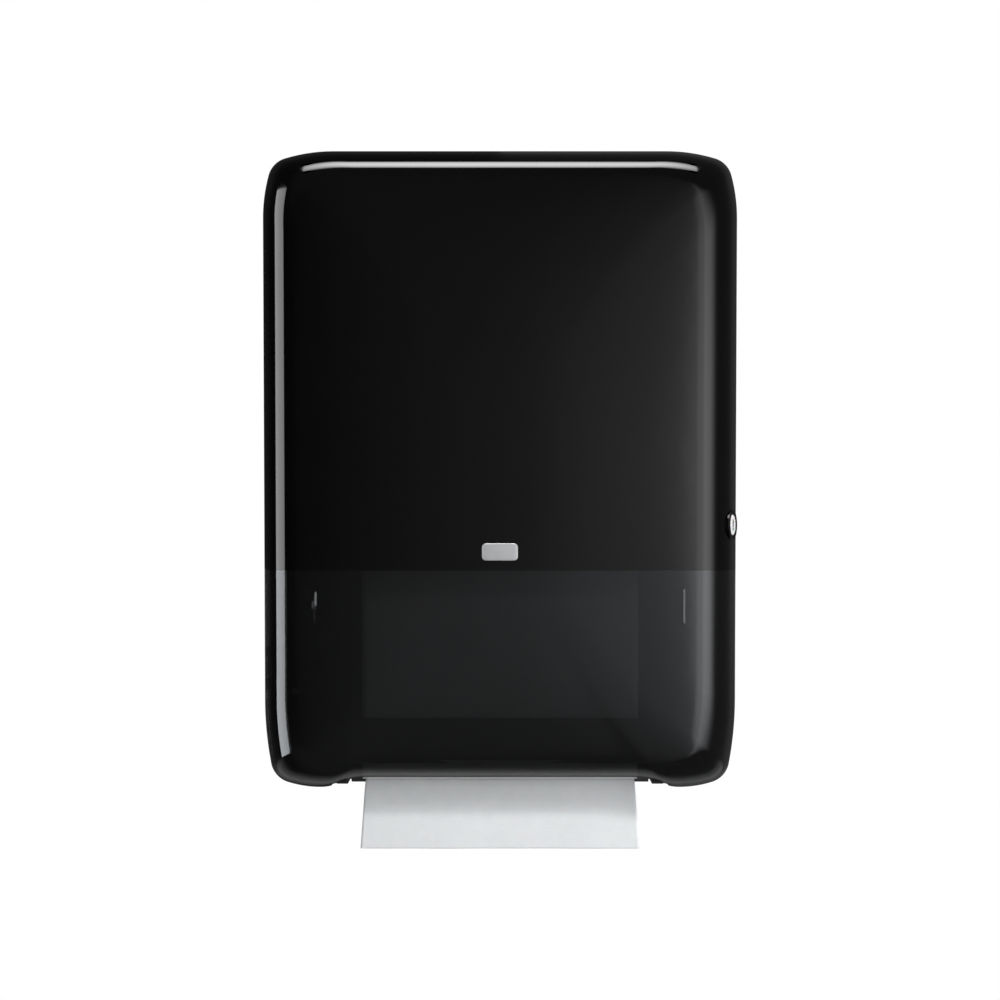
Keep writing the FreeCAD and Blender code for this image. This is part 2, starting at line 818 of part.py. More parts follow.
def cover_shapes():
    outline = case_outline()
    wall = number("cover_wall")
    seam = number("seam_height")
    lap = number("lap_height")
    outer = skin_solid(outline, 0.0)
    inner = skin_solid(outline, wall)
    upper_half = skin_solid(outline, wall / 2)
    lower_half = skin_solid(outline, wall / 2 + number("lap_clearance"))
    upper_zone, lower_zone = hinge_zones()
    centre, facing = lock_axis()
    boss = rod(number("lock_boss_radius"), centre - facing * number("lock_boss_depth"),
               centre + facing * number("lock_boss_proud"))
    stem = rod(number("disc_radius + ring_wall - ring_shoulder"),
               centre - facing * number("barrel_length"), centre + facing * number("barrel_length"))
    upper = outer.common(above(seam)).cut(inner)
    upper = upper.cut(upper_half.common(above(seam - BEYOND, seam + lap)))
    upper = upper.fuse(boss).cut(stem)
    upper = finish_shell(upper, upper_zone)
    lower = outer.common(above(-OUTWARDS, seam))
    tongue_zone = block(-OUTWARDS, OUTWARDS, -OUTWARDS, -number(RIM), seam - number("tongue_root"),
                        seam + lap - number("parting_gap"))
    tongue = lower_half.common(tongue_zone)
    lower = lower.fuse(tongue).cut(inner)
    mouth = block(-number(MOUTH_HALF), number(MOUTH_HALF), -number(MOUTH_LIP), 0,
                  -OUTWARDS, number(BLOCK_TOP))
    lower = finish_shell(lower.cut(mouth), lower_zone)
    return upper, lower


def cover_parts():
    upper, lower = cover_shapes()
    return [feature("cover_shell", upper), feature("cover_window", lower)]


def hinge_pins():
    """Steel pins, each through the two housing knuckles and the cover's knuckle between them."""
    half = "cover_knuckle_length / 2 + knuckle_gap + knuckle_length"
    pins = []
    for name, sign in (("hinge_pin_upper", ""), ("hinge_pin_lower", "-")):
        outline = [(f"-({half})", "0"), (half, "0"), (half, "pin_radius"), (f"-({half})", "pin_radius")]
        pins.append(turned(name, outline, x=f"hinge_inset - ({HALF_WIDTH})", y=f"-({RIM})",
                           z=f"{sign}({HINGE_HEIGHT})", turn=Rotation(Vector(0, 1, 0), 90)))
    return pins


def badge():
    """Plain raised badge with rounded corners, seated on the crown of the cover."""
    body = new_body("badge")
    crown_angle = math.radians(90 - number("crown_angle") / 4)
    depth = skin_point(crown_angle)[0]
    sketch = sketch_on(body, "XZ_Plane", depth)
    half = "badge_width / 2"
    low = "badge_centre - badge_height / 2"
    high = "badge_centre + badge_height / 2"
    draw_polygon(sketch, [(f"-{half}", low), (half, low), (half, high), (f"-{half}", high)])
    pad(body, sketch, "badge_wall")
    round_edges(body, Vector(0, 1, 0), "badge_rounding")
    return [body]


# Lock: a turned barrel with a plain disc face, a retaining ring, and a cam that hooks behind the catch

def lock_placement():
    """The lock's own frame: X along its axis, zero at the cover's skin."""
    centre, facing = lock_axis()
    return Placement(centre, Rotation(Vector(0, 0, 1), -number("lock_lean")))


def lock_piece(label, corners):
    """A turned lock part, laid out along the lock's axis with zero at the skin."""
    return turned(label, corners, placement=lock_placement())


def lock_parts():
    bore = "disc_radius + running_clearance"
    stem = "disc_radius + ring_wall - ring_shoulder - seat_clearance"
    flange = "disc_radius + ring_wall"
    seat = "lock_boss_proud"
    lip = "lock_boss_proud + ring_flange"
    ring = lock_piece("lock_ring", [
        ("-lock_boss_depth", bore), (lip, bore), (lip, flange), (seat, flange), (seat, stem),
        ("-lock_boss_depth", stem),
    ])
    barrel = lock_piece("lock_barrel", [
        ("-barrel_length", "0"), (seat, "0"), (seat, "disc_radius"), ("-barrel_length", "disc_radius"),
    ])
    face = f"{seat} + disc_wall"
    disc = lock_piece("lock_disc", [
        (seat, "0"), (face, "0"), (face, "disc_radius - disc_bevel"), (f"{face} - disc_bevel", "disc_radius"),
        (seat, "disc_radius"),
    ])
    cam = new_body("lock_cam")
    sketch = sketch_on(cam, "YZ_Plane", "-barrel_length - cam_wall")
    half = "cam_width / 2"
    draw_polygon(sketch, [
        (f"-{half}", f"-{half}"), ("cam_reach - cam_bevel", f"-{half}"), ("cam_reach", f"cam_bevel - {half}"),
        ("cam_reach", f"{half} - cam_bevel"), ("cam_reach - cam_bevel", half), (f"-{half}", half),
    ])
    pad(cam, sketch, "cam_wall")
    round_edges(cam, Vector(1, 0, 0), "cam_rounding", lambda middle: middle.y < 0)
    cam.Placement = lock_placement()
    screw_seat = "-barrel_length - cam_wall"
    head = f"{screw_seat} - cam_screw_height"
    screw = lock_piece("lock_cam_screw", [
        (head, "0"), (screw_seat, "0"), (screw_seat, "cam_screw_radius"),
        (f"{head} + cam_screw_bevel", "cam_screw_radius"), (head, "cam_screw_radius - cam_screw_bevel"),
    ])
    return [ring, barrel, disc, cam, screw]


def lock_catch():
    """Arm from the back wall whose lip stands in front of the turned cam."""
    centre, facing = lock_axis()
    cam_centre = centre - facing * number("barrel_length + cam_wall / 2")
    body = new_body("lock_catch")
    sketch = sketch_on(body, "YZ_Plane", f"{cam_centre.x:.3f} + catch_offset")
    under = "lock_height + cam_reach + catch_clearance"
    over = f"{under} + catch_bar"
    lip_rear = f"-({-cam_centre.y:.3f} + cam_width / 2 + catch_clearance)"
    lip_front = f"{lip_rear} - catch_lip"
    lip_low = f"{under} - catch_lip_drop"
    foot = "-back_wall - catch_foot_wall"
    gusset = f"{foot} - catch_gusset"
    draw_polygon(sketch, [
        ("-back_wall", f"{under} - catch_foot_drop"), ("-back_wall", f"{over} + catch_foot_rise"),
        (foot, f"{over} + catch_foot_rise"), (gusset, over), (lip_front, over), (lip_front, lip_low),
        (lip_rear, lip_low), (lip_rear, under), (gusset, under), (foot, f"{under} - catch_gusset"),
        (foot, f"{under} - catch_foot_drop"),
    ])
    pad(body, sketch, "catch_width", both_ways=True)
    return [body]


# Magazine: two side walls, a floor and the front frame, holding the stack of towels

def magazine_walls():
    walls = []
    for name, start in (("magazine_left_wall", f"-({WALL_OUTER})"), ("magazine_right_wall", WALL_INNER)):
        body = new_body(name)
        sketch = sketch_on(body, "YZ_Plane", start)
        top = "half_height - wall_top_room"
        draw_polygon(sketch, [
            ("-back_wall", FLOOR_UNDER), ("-back_wall", top), (f"-({FRAME_REAR}) + wall_corner", top),
            (f"-({FRAME_REAR})", f"{top} - wall_corner"), (f"-({FRAME_REAR})", FLOOR_UNDER),
        ])
        pad(body, sketch, "magazine_wall")
        slot = sketch_on(body, "YZ_Plane", start)
        rear = f"-({STACK_REAR}) - wall_slot_side"
        front = f"-({STACK_FRONT}) + wall_slot_side"
        slot_low = f"{FLOOR_TOP} + wall_slot_foot"
        slot_high = f"{top} - wall_slot_top"
        draw_polygon(slot, [(rear, slot_low), (rear, slot_high), (front, slot_high), (front, slot_low)])
        pocket_through(body, slot)
        back = number(rear) + BEYOND
        fore = number(front) - BEYOND
        round_edges(body, Vector(1, 0, 0), "wall_slot_rounding", lambda middle: back > middle.y > fore)
        walls.append(body)
    return walls


def magazine_floor():
    """Shelf under the stack, with a turned-down front edge."""
    body = new_body("magazine_floor")
    sketch = sketch_on(body, "YZ_Plane")
    draw_polygon(sketch, [
        ("-back_wall", FLOOR_UNDER), ("-back_wall", FLOOR_TOP), (f"-({FRAME_REAR})", FLOOR_TOP),
        (f"-({FRAME_REAR})", FLOOR_UNDER),
    ])
    pad(body, sketch, f"2 * ({WALL_INNER})", both_ways=True)
    return [body]


def front_frame():
    """Frame in front of the magazine: side legs, a top bar and a bottom sill round the loading opening."""
    body = new_body("front_frame")
    sketch = sketch_on(body, "XZ_Plane", FRAME_REAR)
    half = FRAME_HALF
    top = "half_height - frame_top_room"
    foot = "frame_foot_room - half_height"
    draw_polygon(sketch, [
        (f"-({half})", foot), (f"-({FRAME_LEG})", foot), (f"-({FRAME_LEG})", FRAME_NOTCH),
        (FRAME_LEG, FRAME_NOTCH), (FRAME_LEG, foot), (half, foot), (half, top), (f"-({half})", top),
    ])
    pad(body, sketch, "frame_wall")
    opening = sketch_on(body, "XZ_Plane", FRAME_REAR)
    low = f"{FLOOR_TOP} + opening_rise"
    high = "half_height - opening_top_room"
    draw_polygon(opening, [
        (f"-({WALL_INNER})", low), (WALL_INNER, low), (WALL_INNER, high), (f"-({WALL_INNER})", high),
    ])
    pocket_through(body, opening)
    holes = sketch_on(body, "XZ_Plane", FRAME_REAR)
    for x in (f"-({POST_HALF})", POST_HALF):
        for z in (f"-({POST_HEIGHT})", POST_HEIGHT):
            draw_circle(holes, x, z, "screw_radius + seat_clearance")
    pocket_through(body, holes)
    outer = number(half) - BEYOND
    inner = number(WALL_INNER) + BEYOND
    forward = Vector(0, 1, 0)
    round_edges(body, forward, "frame_rounding", lambda middle: abs(middle.x) > outer)
    round_edges(body, forward, "opening_rounding", lambda middle: abs(middle.x) < inner)
    return [body]


def frame_clips():
    """Moulded hooks on the frame's legs that the window's inside closes against."""
    clips = []
    for name, start in (("frame_clip_left", f"-({FRAME_HALF}) + clip_side - clip_width / 2"),
                        ("frame_clip_right", f"{FRAME_HALF} - clip_side - clip_width / 2")):
        body = new_body(name)
        sketch = sketch_on(body, "YZ_Plane", start)
        front = f"-({FRAME_FRONT})"
        hook = f"{front} - clip_hook"
        spine = f"{front} - clip_spine"
        land = "clip_top - clip_lead - clip_land"
        draw_polygon(sketch, [
            (front, "clip_top"), (hook, "clip_top - clip_lead"), (hook, land), (spine, f"{land} - clip_back"),
            (spine, "clip_top - clip_length + clip_spine"), (front, "clip_top - clip_length"),
        ])
        pad(body, sketch, "clip_width")
        clips.append(body)
    return clips


def frame_screws():
    """Four pan-head screws that hold the front frame to the housing's posts."""
    shapes = []
    for x in (-number(POST_HALF), number(POST_HALF)):
        for z in (-number(POST_HEIGHT), number(POST_HEIGHT)):
            seat = Vector(x, -number(FRAME_FRONT), z)
            forward = Vector(0, -1, 0)
            head = Part.makeCone(number("screw_head_radius"), number("screw_head_radius - screw_head_fall"),
                                 number("screw_head_height"), seat, forward)
            shank = rod(number("screw_radius"), seat + Vector(0, number("screw_length"), 0), seat)
            shapes.append(head.fuse(shank))
    return [feature("frame_screws", Part.makeCompound(shapes))]


# Towels: the stack of bundles, the web that feeds from it, and the towel that hangs out

def towel_bundles():
    bundles = []
    for index in range(BUNDLE_COUNT):
        name = f"towel_bundle_{index + 1}"
        base = doc.addObject("Part::Box", f"{name}_blank")
        bind(base, "Length", "towel_width")
        bind(base, "Width", "towel_fold")
        bind(base, "Height", BUNDLE_HEIGHT)
        place(base, f"-({STACK_HALF})", f"-({STACK_FRONT})", f"{FLOOR_TOP} + {index} * {BUNDLE_HEIGHT}")
        doc.recompute()
        rounded = doc.addObject("Part::Fillet", name)
        rounded.Base = base
        edges = edges_along(base.Shape, Vector(0, 0, 1), lambda middle: True)
        radius = number("bundle_rounding")
        rounded.Edges = [(int(edge[4:]), radius, radius) for edge in edges]
        rounded.Label = name
        bundles.append(rounded)
    doc.recompute()
    return bundles


def strip(path, half_width, wall):
    """A flat strip that follows a path in the YZ plane."""
    start = path.Edges[0]
    origin = start.valueAt(start.FirstParameter)
    along = start.tangentAt(start.FirstParameter)
    across = along.cross(Vector(1, 0, 0)).normalize() * (wall / 2)
    side = Vector(half_width, 0, 0)
    corners = [origin - side - across, origin + side - across, origin + side + across, origin - side + across]
    profile = Part.makePolygon(corners + corners[:1])
    return path.makePipeShell([profile], True, False, 2)


def towel_web():
    """Up from the stack, over the guide roller, down in front of the frame and back to the nip."""
    radius = number("guide_radius + web_gap + web_wall / 2")
    guide = Vector(0, -number(GUIDE_FORWARD), number(GUIDE_HEIGHT))
    stack_top = number(STACK_TOP)
    start = Vector(0, -number(f"({STACK_REAR} + {STACK_FRONT}) / 2"), stack_top)
    reach = start - guide
    tilt = math.atan2(reach.z, reach.y)
    touch = tilt + math.acos(radius / reach.Length)
    rear = guide + Vector(0, math.cos(touch), math.sin(touch)) * radius
    top = guide + Vector(0, 0, radius)
    front = guide - Vector(0, radius, 0)
    bend_top = Vector(0, front.y, number(FRAME_NOTCH))
    bend_low = Vector(0, -number(NIP), number(f"{NIP_HEIGHT} + roller_radius"))
    end = Vector(0, bend_low.y, number(WEB_END))
    edges = [
        Part.LineSegment(start, rear).toShape(),
        Part.Arc(rear, top, front).toShape(),
    ]
    ease = number("web_easing")
    straight = (bend_low - bend_top).normalize()
    for corner, before, after in ((bend_top, Vector(0, 0, 1), straight),
                                  (bend_low, straight * -1, Vector(0, 0, -1))):
        first = corner + before * ease
        last = corner + after * ease
        half_turn = (math.pi - before.getAngle(after)) / 2
        sagitta = (before + after).normalize() * (ease * math.tan(half_turn / 2))
        edges.append(Part.LineSegment(edges[-1].Vertexes[-1].Point, first).toShape())
        edges.append(Part.Arc(first, corner + sagitta, last).toShape())
    edges.append(Part.LineSegment(edges[-1].Vertexes[-1].Point, end).toShape())
    path = Part.Wire(edges)
    return [feature("towel_web", strip(path, number(WEB_HALF), number("web_wall")))]


def hanging_towel():
    """The towel in reach: it leaves the nip, leans back to a soft crease and widens to its hem."""
    wall = number("web_wall")
    narrow = number(f"{STACK_HALF} - outlet_inset")
    wide = number(f"{STACK_HALF} - hem_inset")
    sections = []
    for drop, setback, share in TOWEL_FALL:
        half = narrow + (wide - narrow) * share
        y = -number(NIP) + number(setback)
        z = number(WEB_END) - number(drop)
        corners = [
            Vector(-half, y - wall / 2, z), Vector(half, y - wall / 2, z),
            Vector(half, y + wall / 2, z), Vector(-half, y + wall / 2, z),
        ]
        sections.append(Part.makePolygon(corners + corners[:1]))
    return [feature("hanging_towel", Part.makeLoft(sections, True, True))]


# Guide roller: a tube on two plugged caps that turn on a fixed axle between two brackets

def guide_parts():
    where = {"y": f"-({GUIDE_FORWARD})", "z": GUIDE_HEIGHT}
    half = STACK_HALF
    tube = tube_outline(f"-({half})", half, "guide_radius - guide_wall", "guide_radius")
    pieces = [turned("guide_roller_tube", tube, **where)]
    bore = "axle_radius + running_clearance"
    plug = "guide_radius - guide_wall - seat_clearance"
    for name, sign in (("guide_cap_left", "-"), ("guide_cap_right", "")):
        inner = f"{sign}({half} - cap_plug)"
        seat = f"{sign}({half})"
        outer = f"{sign}({half} + cap_flange / 2)"
        cap = [
            (inner, bore), (outer, bore), (outer, "guide_radius"), (seat, "guide_radius"), (seat, plug),
            (inner, plug),
        ]
        pieces.append(turned(name, cap, **where))
    end = f"{BRACKET_OUTER} + axle_end"
    axle = [(f"-({end})", "0"), (end, "0"), (end, "axle_radius"), (f"-({end})", "axle_radius")]
    pieces.append(turned("guide_axle", axle, **where))
    for name, start in (("guide_bracket_left", f"-({BRACKET_OUTER})"), ("guide_bracket_right", WALL_OUTER)):
        body = new_body(name)
        sketch = sketch_on(body, "YZ_Plane", start)
        centre_y = f"-({GUIDE_FORWARD})"
        step = "half_height - frame_top_room + bracket_step"
        low = "half_height - wall_top_room - bracket_foot"
        crest = f"{GUIDE_HEIGHT} + bracket_crest"
        draw_polygon(sketch, [
            (f"{centre_y} + bracket_back", low), (f"{centre_y} + bracket_back", step),
            (f"{centre_y} + bracket_nose", crest), (f"{centre_y} - bracket_nose", crest),
            (f"{centre_y} - bracket_nose - bracket_cheek", f"{GUIDE_HEIGHT} - bracket_cheek"),
            (f"{centre_y} - bracket_front", step), (f"{centre_y} - bracket_front", low),
        ])
        pad(body, sketch, "bracket_wall")
        hole = sketch_on(body, "YZ_Plane", start)
        draw_circle(hole, centre_y, GUIDE_HEIGHT, "axle_radius + seat_clearance")
        pocket_through(body, hole)
        pieces.append(body)
    return pieces


# Nip rollers: rubber rings on turned cores, one pair of journals in the blocks, one in the carriage

def roller_shaft(label, y, journal_end):
    body_end = f"{WALL_OUTER} - core_end_gap"
    corners = [
        (f"-({journal_end})", "0"), (journal_end, "0"), (journal_end, "shaft_radius"),
        (body_end, "shaft_radius"), (body_end, "core_radius"), (f"-({body_end})", "core_radius"),
        (f"-({body_end})", "shaft_radius"), (f"-({journal_end})", "shaft_radius"),
    ]
    return turned(label, corners, y=y, z=NIP_HEIGHT)


def roller_rings(label, forward):
    """Rubber sleeves in a row along the core."""
    centre = Vector(0, -number(forward), number(NIP_HEIGHT))
    half = number("ring_width") / 2
    rings = []
    for index in range(RING_COUNT):
        middle = centre + Vector((index - (RING_COUNT - 1) / 2) * number(RING_PITCH), 0, 0)
        side = Vector(half, 0, 0)
        rings.append(rod(number("roller_radius"), middle - side, middle + side,
                         number("core_radius + seat_clearance")))
    return feature(label, Part.makeCompound(rings))


def bearing_blocks():
    blocks = []
    for name, start in (("bearing_block_left", f"-({BLOCK_OUTER})"), ("bearing_block_right", BLOCK_INNER)):
        body = new_body(name)
        sketch = sketch_on(body, "YZ_Plane", start)
        lip = f"-({MOUTH_LIP}) + block_lip_gap"
        front = f"-({FRONT_ROLLER} + roller_radius + guard_gap + guard_wall + block_nose)"
        rear = f"-({RIM}) - rear_foot_gap"
        foot = f"{MOUTH_EDGE} + block_foot_rise"
        lip_top = f"{BLOCK_UNDER} + block_lip_rise"
        draw_polygon(sketch, [
            ("-back_wall", BLOCK_TOP), ("-back_wall", foot), (rear, foot), (rear, BLOCK_UNDER),
            (lip, BLOCK_UNDER), (lip, lip_top), (f"{lip} - block_toe", f"{lip_top} + block_toe_rise"),
            (front, f"{NIP_HEIGHT} - block_nose_drop"), (front, BLOCK_TOP),
        ])
        pad(body, sketch, "block_width")
        bush_hole = sketch_on(body, "YZ_Plane", start)
        bush_seat = "shaft_radius + running_clearance + bush_wall + seat_clearance"
        draw_circle(bush_hole, f"-({FRONT_ROLLER})", NIP_HEIGHT, bush_seat)
        pocket_through(body, bush_hole)
        pivot_hole = sketch_on(body, "YZ_Plane", start)
        draw_circle(pivot_hole, f"-({PIVOT_FORWARD})", PIVOT_HEIGHT, "pivot_radius + seat_clearance")
        pocket_through(body, pivot_hole)
        blocks.append(body)
    return blocks


def bushes():
    pieces = []
    bore = "shaft_radius + running_clearance"
    for name, sign in (("roller_bush_left", "-"), ("roller_bush_right", "")):
        inner = f"{sign}({BLOCK_INNER})"
        outer = f"{sign}({BLOCK_OUTER})"
        corners = tube_outline(inner, outer, bore, f"{bore} + bush_wall")
        pieces.append(turned(name, corners, y=f"-({FRONT_ROLLER})", z=NIP_HEIGHT))
    return pieces


def pressure_carriage():
    """Rocking frame that presses the rear roller forward: a tail bar between two arms."""
    body = new_body("pressure_carriage")
    bar = sketch_on(body, "YZ_Plane")
    tail = f"-({TAIL_END})"
    pivot = f"-({PIVOT_FORWARD})"
    roller = f"-({REAR_ROLLER})"
    draw_polygon(bar, [
        (tail, f"{TAIL_TOP} - tail_wall"), (tail, TAIL_TOP), (f"{pivot} + bar_front", TAIL_TOP),
        (f"{pivot} + bar_front", f"{TAIL_TOP} - tail_wall"),
    ])
    pad(body, bar, f"2 * ({ARM_INNER}) + arm_wall", both_ways=True)
    over = f"{PIVOT_HEIGHT} + arm_eye"
    under = f"{NIP_HEIGHT} - arm_eye - arm_rim"
    for start in (f"-({ARM_OUTER})", ARM_INNER):
        arm = sketch_on(body, "YZ_Plane", start)
        draw_polygon(arm, [
            (tail, f"{TAIL_TOP} + arm_tail_rise"), (tail, f"{TAIL_TOP} - arm_tail_drop"),
            (f"{pivot} + arm_heel", f"{PIVOT_HEIGHT} - arm_eye"),
            (f"{roller} + arm_eye", under), (f"{roller} - arm_eye", under),
            (f"{roller} - arm_eye", f"{NIP_HEIGHT} + arm_eye + arm_rim"), (f"{pivot} - arm_eye", over),
            (f"{pivot} + arm_back", over),
        ])
        pad(body, arm, "arm_wall")
    bores = sketch_on(body, "YZ_Plane")
    draw_circle(bores, roller, NIP_HEIGHT, "shaft_radius + running_clearance")
    draw_circle(bores, pivot, PIVOT_HEIGHT, "pivot_radius + running_clearance")
    pocket_through(body, bores)
    return [body]


def carriage_pivot():
    end = f"{BLOCK_OUTER} - pivot_end_gap"
    return [turned("carriage_pivot", [
        (f"-({end})", "0"), (end, "0"), (end, "pivot_radius"), (f"-({end})", "pivot_radius"),
    ], y=f"-({PIVOT_FORWARD})", z=PIVOT_HEIGHT)]


def pressure_springs():
    """Compression springs from the underside of the shelf onto the carriage's tail."""
    wire = number("spring_wire")
    low = number(f"{TAIL_TOP} + spring_wire + seat_clearance")
    high = number(f"{FLOOR_UNDER} - spring_wire - seat_clearance")
    y = -number(f"{TAIL_END} + spring_setback")
    side = number(f"{STACK_HALF} - spring_inset")
    springs = []
    for x in (-side, side):
        radius = number("spring_radius")
        helix = Part.makeHelix((high - low) / number("spring_turns"), high - low, radius)
        helix.translate(Vector(x, y, low))
        start = Vector(x + radius, y, low)
        circle = Part.Wire(Part.makeCircle(wire, start, Vector(0, 1, 0)))
        springs.append(Part.Wire(helix).makePipeShell([circle], True, True))
    return [feature("pressure_springs", Part.makeCompound(springs))]


def roller_guard():
    """Hood in front of the front roller, with a central notch in its lower edge."""
    centre = Vector(0, -number(FRONT_ROLLER), number(NIP_HEIGHT))
    inner = number("roller_radius + guard_gap")
    outer = inner + number("guard_wall")
    half = number(BLOCK_INNER)
    top = centre.z + number("guard_rise")
    wrap = math.radians(number("guard_wrap"))

    def rim(radius, angle):
        return centre + Vector(-half, -math.cos(angle) * radius, -math.sin(angle) * radius)

    up = Vector(-half, centre.y, top)
    edges = [
        Part.LineSegment(up - Vector(0, outer, 0), rim(outer, 0)).toShape(),
        Part.Arc(rim(outer, 0), rim(outer, wrap / 2), rim(outer, wrap)).toShape(),
        Part.LineSegment(rim(outer, wrap), rim(inner, wrap)).toShape(),
        Part.Arc(rim(inner, wrap), rim(inner, wrap / 2), rim(inner, 0)).toShape(),
        Part.LineSegment(rim(inner, 0), up - Vector(0, inner, 0)).toShape(),
        Part.LineSegment(up - Vector(0, inner, 0), up - Vector(0, outer, 0)).toShape(),
    ]
    hood = Part.Face(Part.Wire(edges)).extrude(Vector(2 * half, 0, 0))
    notch_half = number("guard_notch_half")
    slant = number("guard_notch_run")
    low = centre.z - outer
    high = rim(outer, math.radians(number("guard_notch_lean"))).z
    corners = [Vector(-notch_half, 0, high), Vector(notch_half, 0, high), Vector(notch_half - slant, 0, low),
               Vector(slant - notch_half, 0, low)]
    notch = Part.Face(Part.makePolygon(corners + corners[:1])).extrude(Vector(0, -OUTWARDS, 0))
    return [feature("roller_guard", hood.cut(notch))]


def outlet_plate():
    """Bottom plate behind the towel, lodged between the blocks, with a relief beside each."""
    body = new_body("outlet_plate")
    sketch = sketch_on(body, "YZ_Plane")
    rear = f"-({RIM}) - rear_foot_gap"
    front = f"-({NIP} - outlet_slot)"
    top = f"{BLOCK_UNDER} + outlet_wall"
    draw_polygon(sketch, [
        (rear, BLOCK_UNDER), (rear, top), (front, top), (front, f"{BLOCK_UNDER} + outlet_bevel"),
        (f"{front} + outlet_bevel", BLOCK_UNDER),
    ])
    pad(body, sketch, f"2 * ({BLOCK_INNER})", both_ways=True)
    notches = sketch_on(body, "XZ_Plane")
    for sign in ("-", ""):
        inner = f"{sign}({BLOCK_INNER} - outlet_notch)"
        outer = f"{sign}({BLOCK_INNER} + {BEYOND})"
        low = f"{BLOCK_UNDER} - {BEYOND}"
        high = f"{BLOCK_UNDER} + outlet_notch_rise"
        draw_polygon(notches, [(inner, low), (outer, low), (outer, high), (inner, high)])
    pocket_through(body, notches)
    return [body]


fill_sheet()
sub_parts = [feature("rear_housing", rear_housing())]
sub_parts += hinge_pins()
sub_parts += cover_parts()
sub_parts += badge()
sub_parts += lock_parts()
sub_parts += lock_catch()
sub_parts += magazine_walls()
sub_parts += magazine_floor()
sub_parts += front_frame()
sub_parts += frame_clips()
sub_parts += frame_screws()
sub_parts += towel_bundles()
sub_parts += towel_web()
sub_parts += hanging_towel()
sub_parts += guide_parts()
sub_parts += bearing_blocks()
sub_parts += bushes()
sub_parts.append(roller_shaft("front_roller_shaft", f"-({FRONT_ROLLER})", f"{BLOCK_OUTER} - journal_end_gap"))
sub_parts.append(roller_shaft("rear_roller_shaft", f"-({REAR_ROLLER})", ARM_OUTER))
sub_parts.append(roller_rings("front_roller_rings", FRONT_ROLLER))
sub_parts.append(roller_rings("rear_roller_rings", REAR_ROLLER))
sub_parts += pressure_carriage()
sub_parts += carriage_pivot()
sub_parts += pressure_springs()
sub_parts += roller_guard()
sub_parts += outlet_plate()
doc.recompute()


def check_document():
    """Stops on a failed object or a sub-part without a sound shape."""
    for thing in doc.Objects:
        if "Invalid" in thing.State or "Error" in thing.State:
            raise RuntimeError(f"{thing.Label} failed: {thing.State}")
    for part in sub_parts:
        if part.Shape.isNull() or not part.Shape.isValid() or part.Shape.Volume <= 0:
            raise RuntimeError(f"{part.Label} has no sound shape")


check_document()
os.makedirs("parts", exist_ok=True)
for part in sub_parts:
    part.Shape.exportStep(f"parts/{part.Label}.step")
    print(part.Label, len(part.Shape.Solids), round(part.Shape.Volume), len(part.Shape.Faces))
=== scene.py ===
import math

import bmesh
import bpy
import numpy as np
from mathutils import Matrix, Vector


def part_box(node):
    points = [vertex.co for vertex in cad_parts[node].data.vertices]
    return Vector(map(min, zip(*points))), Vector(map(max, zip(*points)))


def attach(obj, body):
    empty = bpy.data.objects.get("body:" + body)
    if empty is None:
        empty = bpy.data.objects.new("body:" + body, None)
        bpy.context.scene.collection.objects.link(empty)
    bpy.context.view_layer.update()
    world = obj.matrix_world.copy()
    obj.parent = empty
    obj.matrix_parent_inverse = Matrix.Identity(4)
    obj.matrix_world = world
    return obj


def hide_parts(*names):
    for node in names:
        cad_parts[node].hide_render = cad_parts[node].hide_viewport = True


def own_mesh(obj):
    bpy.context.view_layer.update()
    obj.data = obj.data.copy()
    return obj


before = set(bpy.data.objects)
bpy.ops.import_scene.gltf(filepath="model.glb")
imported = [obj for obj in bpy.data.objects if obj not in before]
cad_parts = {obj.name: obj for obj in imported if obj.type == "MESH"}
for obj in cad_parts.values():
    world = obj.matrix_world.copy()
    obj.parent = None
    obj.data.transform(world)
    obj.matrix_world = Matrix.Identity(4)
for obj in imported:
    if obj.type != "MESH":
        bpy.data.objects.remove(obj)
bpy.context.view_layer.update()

# Rear housing: the back plate with its wall ribs, screw bosses and posts, one moulding in black ABS.
# Its mould is spark-eroded, which leaves an even grain and a soft sheen that hides sink marks.
MM = 0.001


def linear(code):
    """A hex sRGB colour as linear values: v/12.92 to 0.04045, else ((v + 0.055)/1.055) to the power 2.4."""
    values = [int(code[i:i + 2], 16) / 255 for i in (1, 3, 5)]
    return [v / 12.92 if v <= 0.04045 else ((v + 0.055) / 1.055) ** 2.4 for v in values] + [1.0]


def add(tree, kind, inputs=None, **settings):
    """Adds one node with its settings. Its inputs, by name or number, are set to values or linked to
    sockets, where a node stands for its first output."""
    node = tree.nodes.new(kind)
    for key, value in settings.items():
        setattr(node, key, value)
    for key, value in (inputs or {}).items():
        source = value.outputs[0] if isinstance(value, bpy.types.Node) else value
        if isinstance(source, bpy.types.NodeSocket):
            tree.links.new(source, node.inputs[key])
        else:
            node.inputs[key].default_value = source
    return node


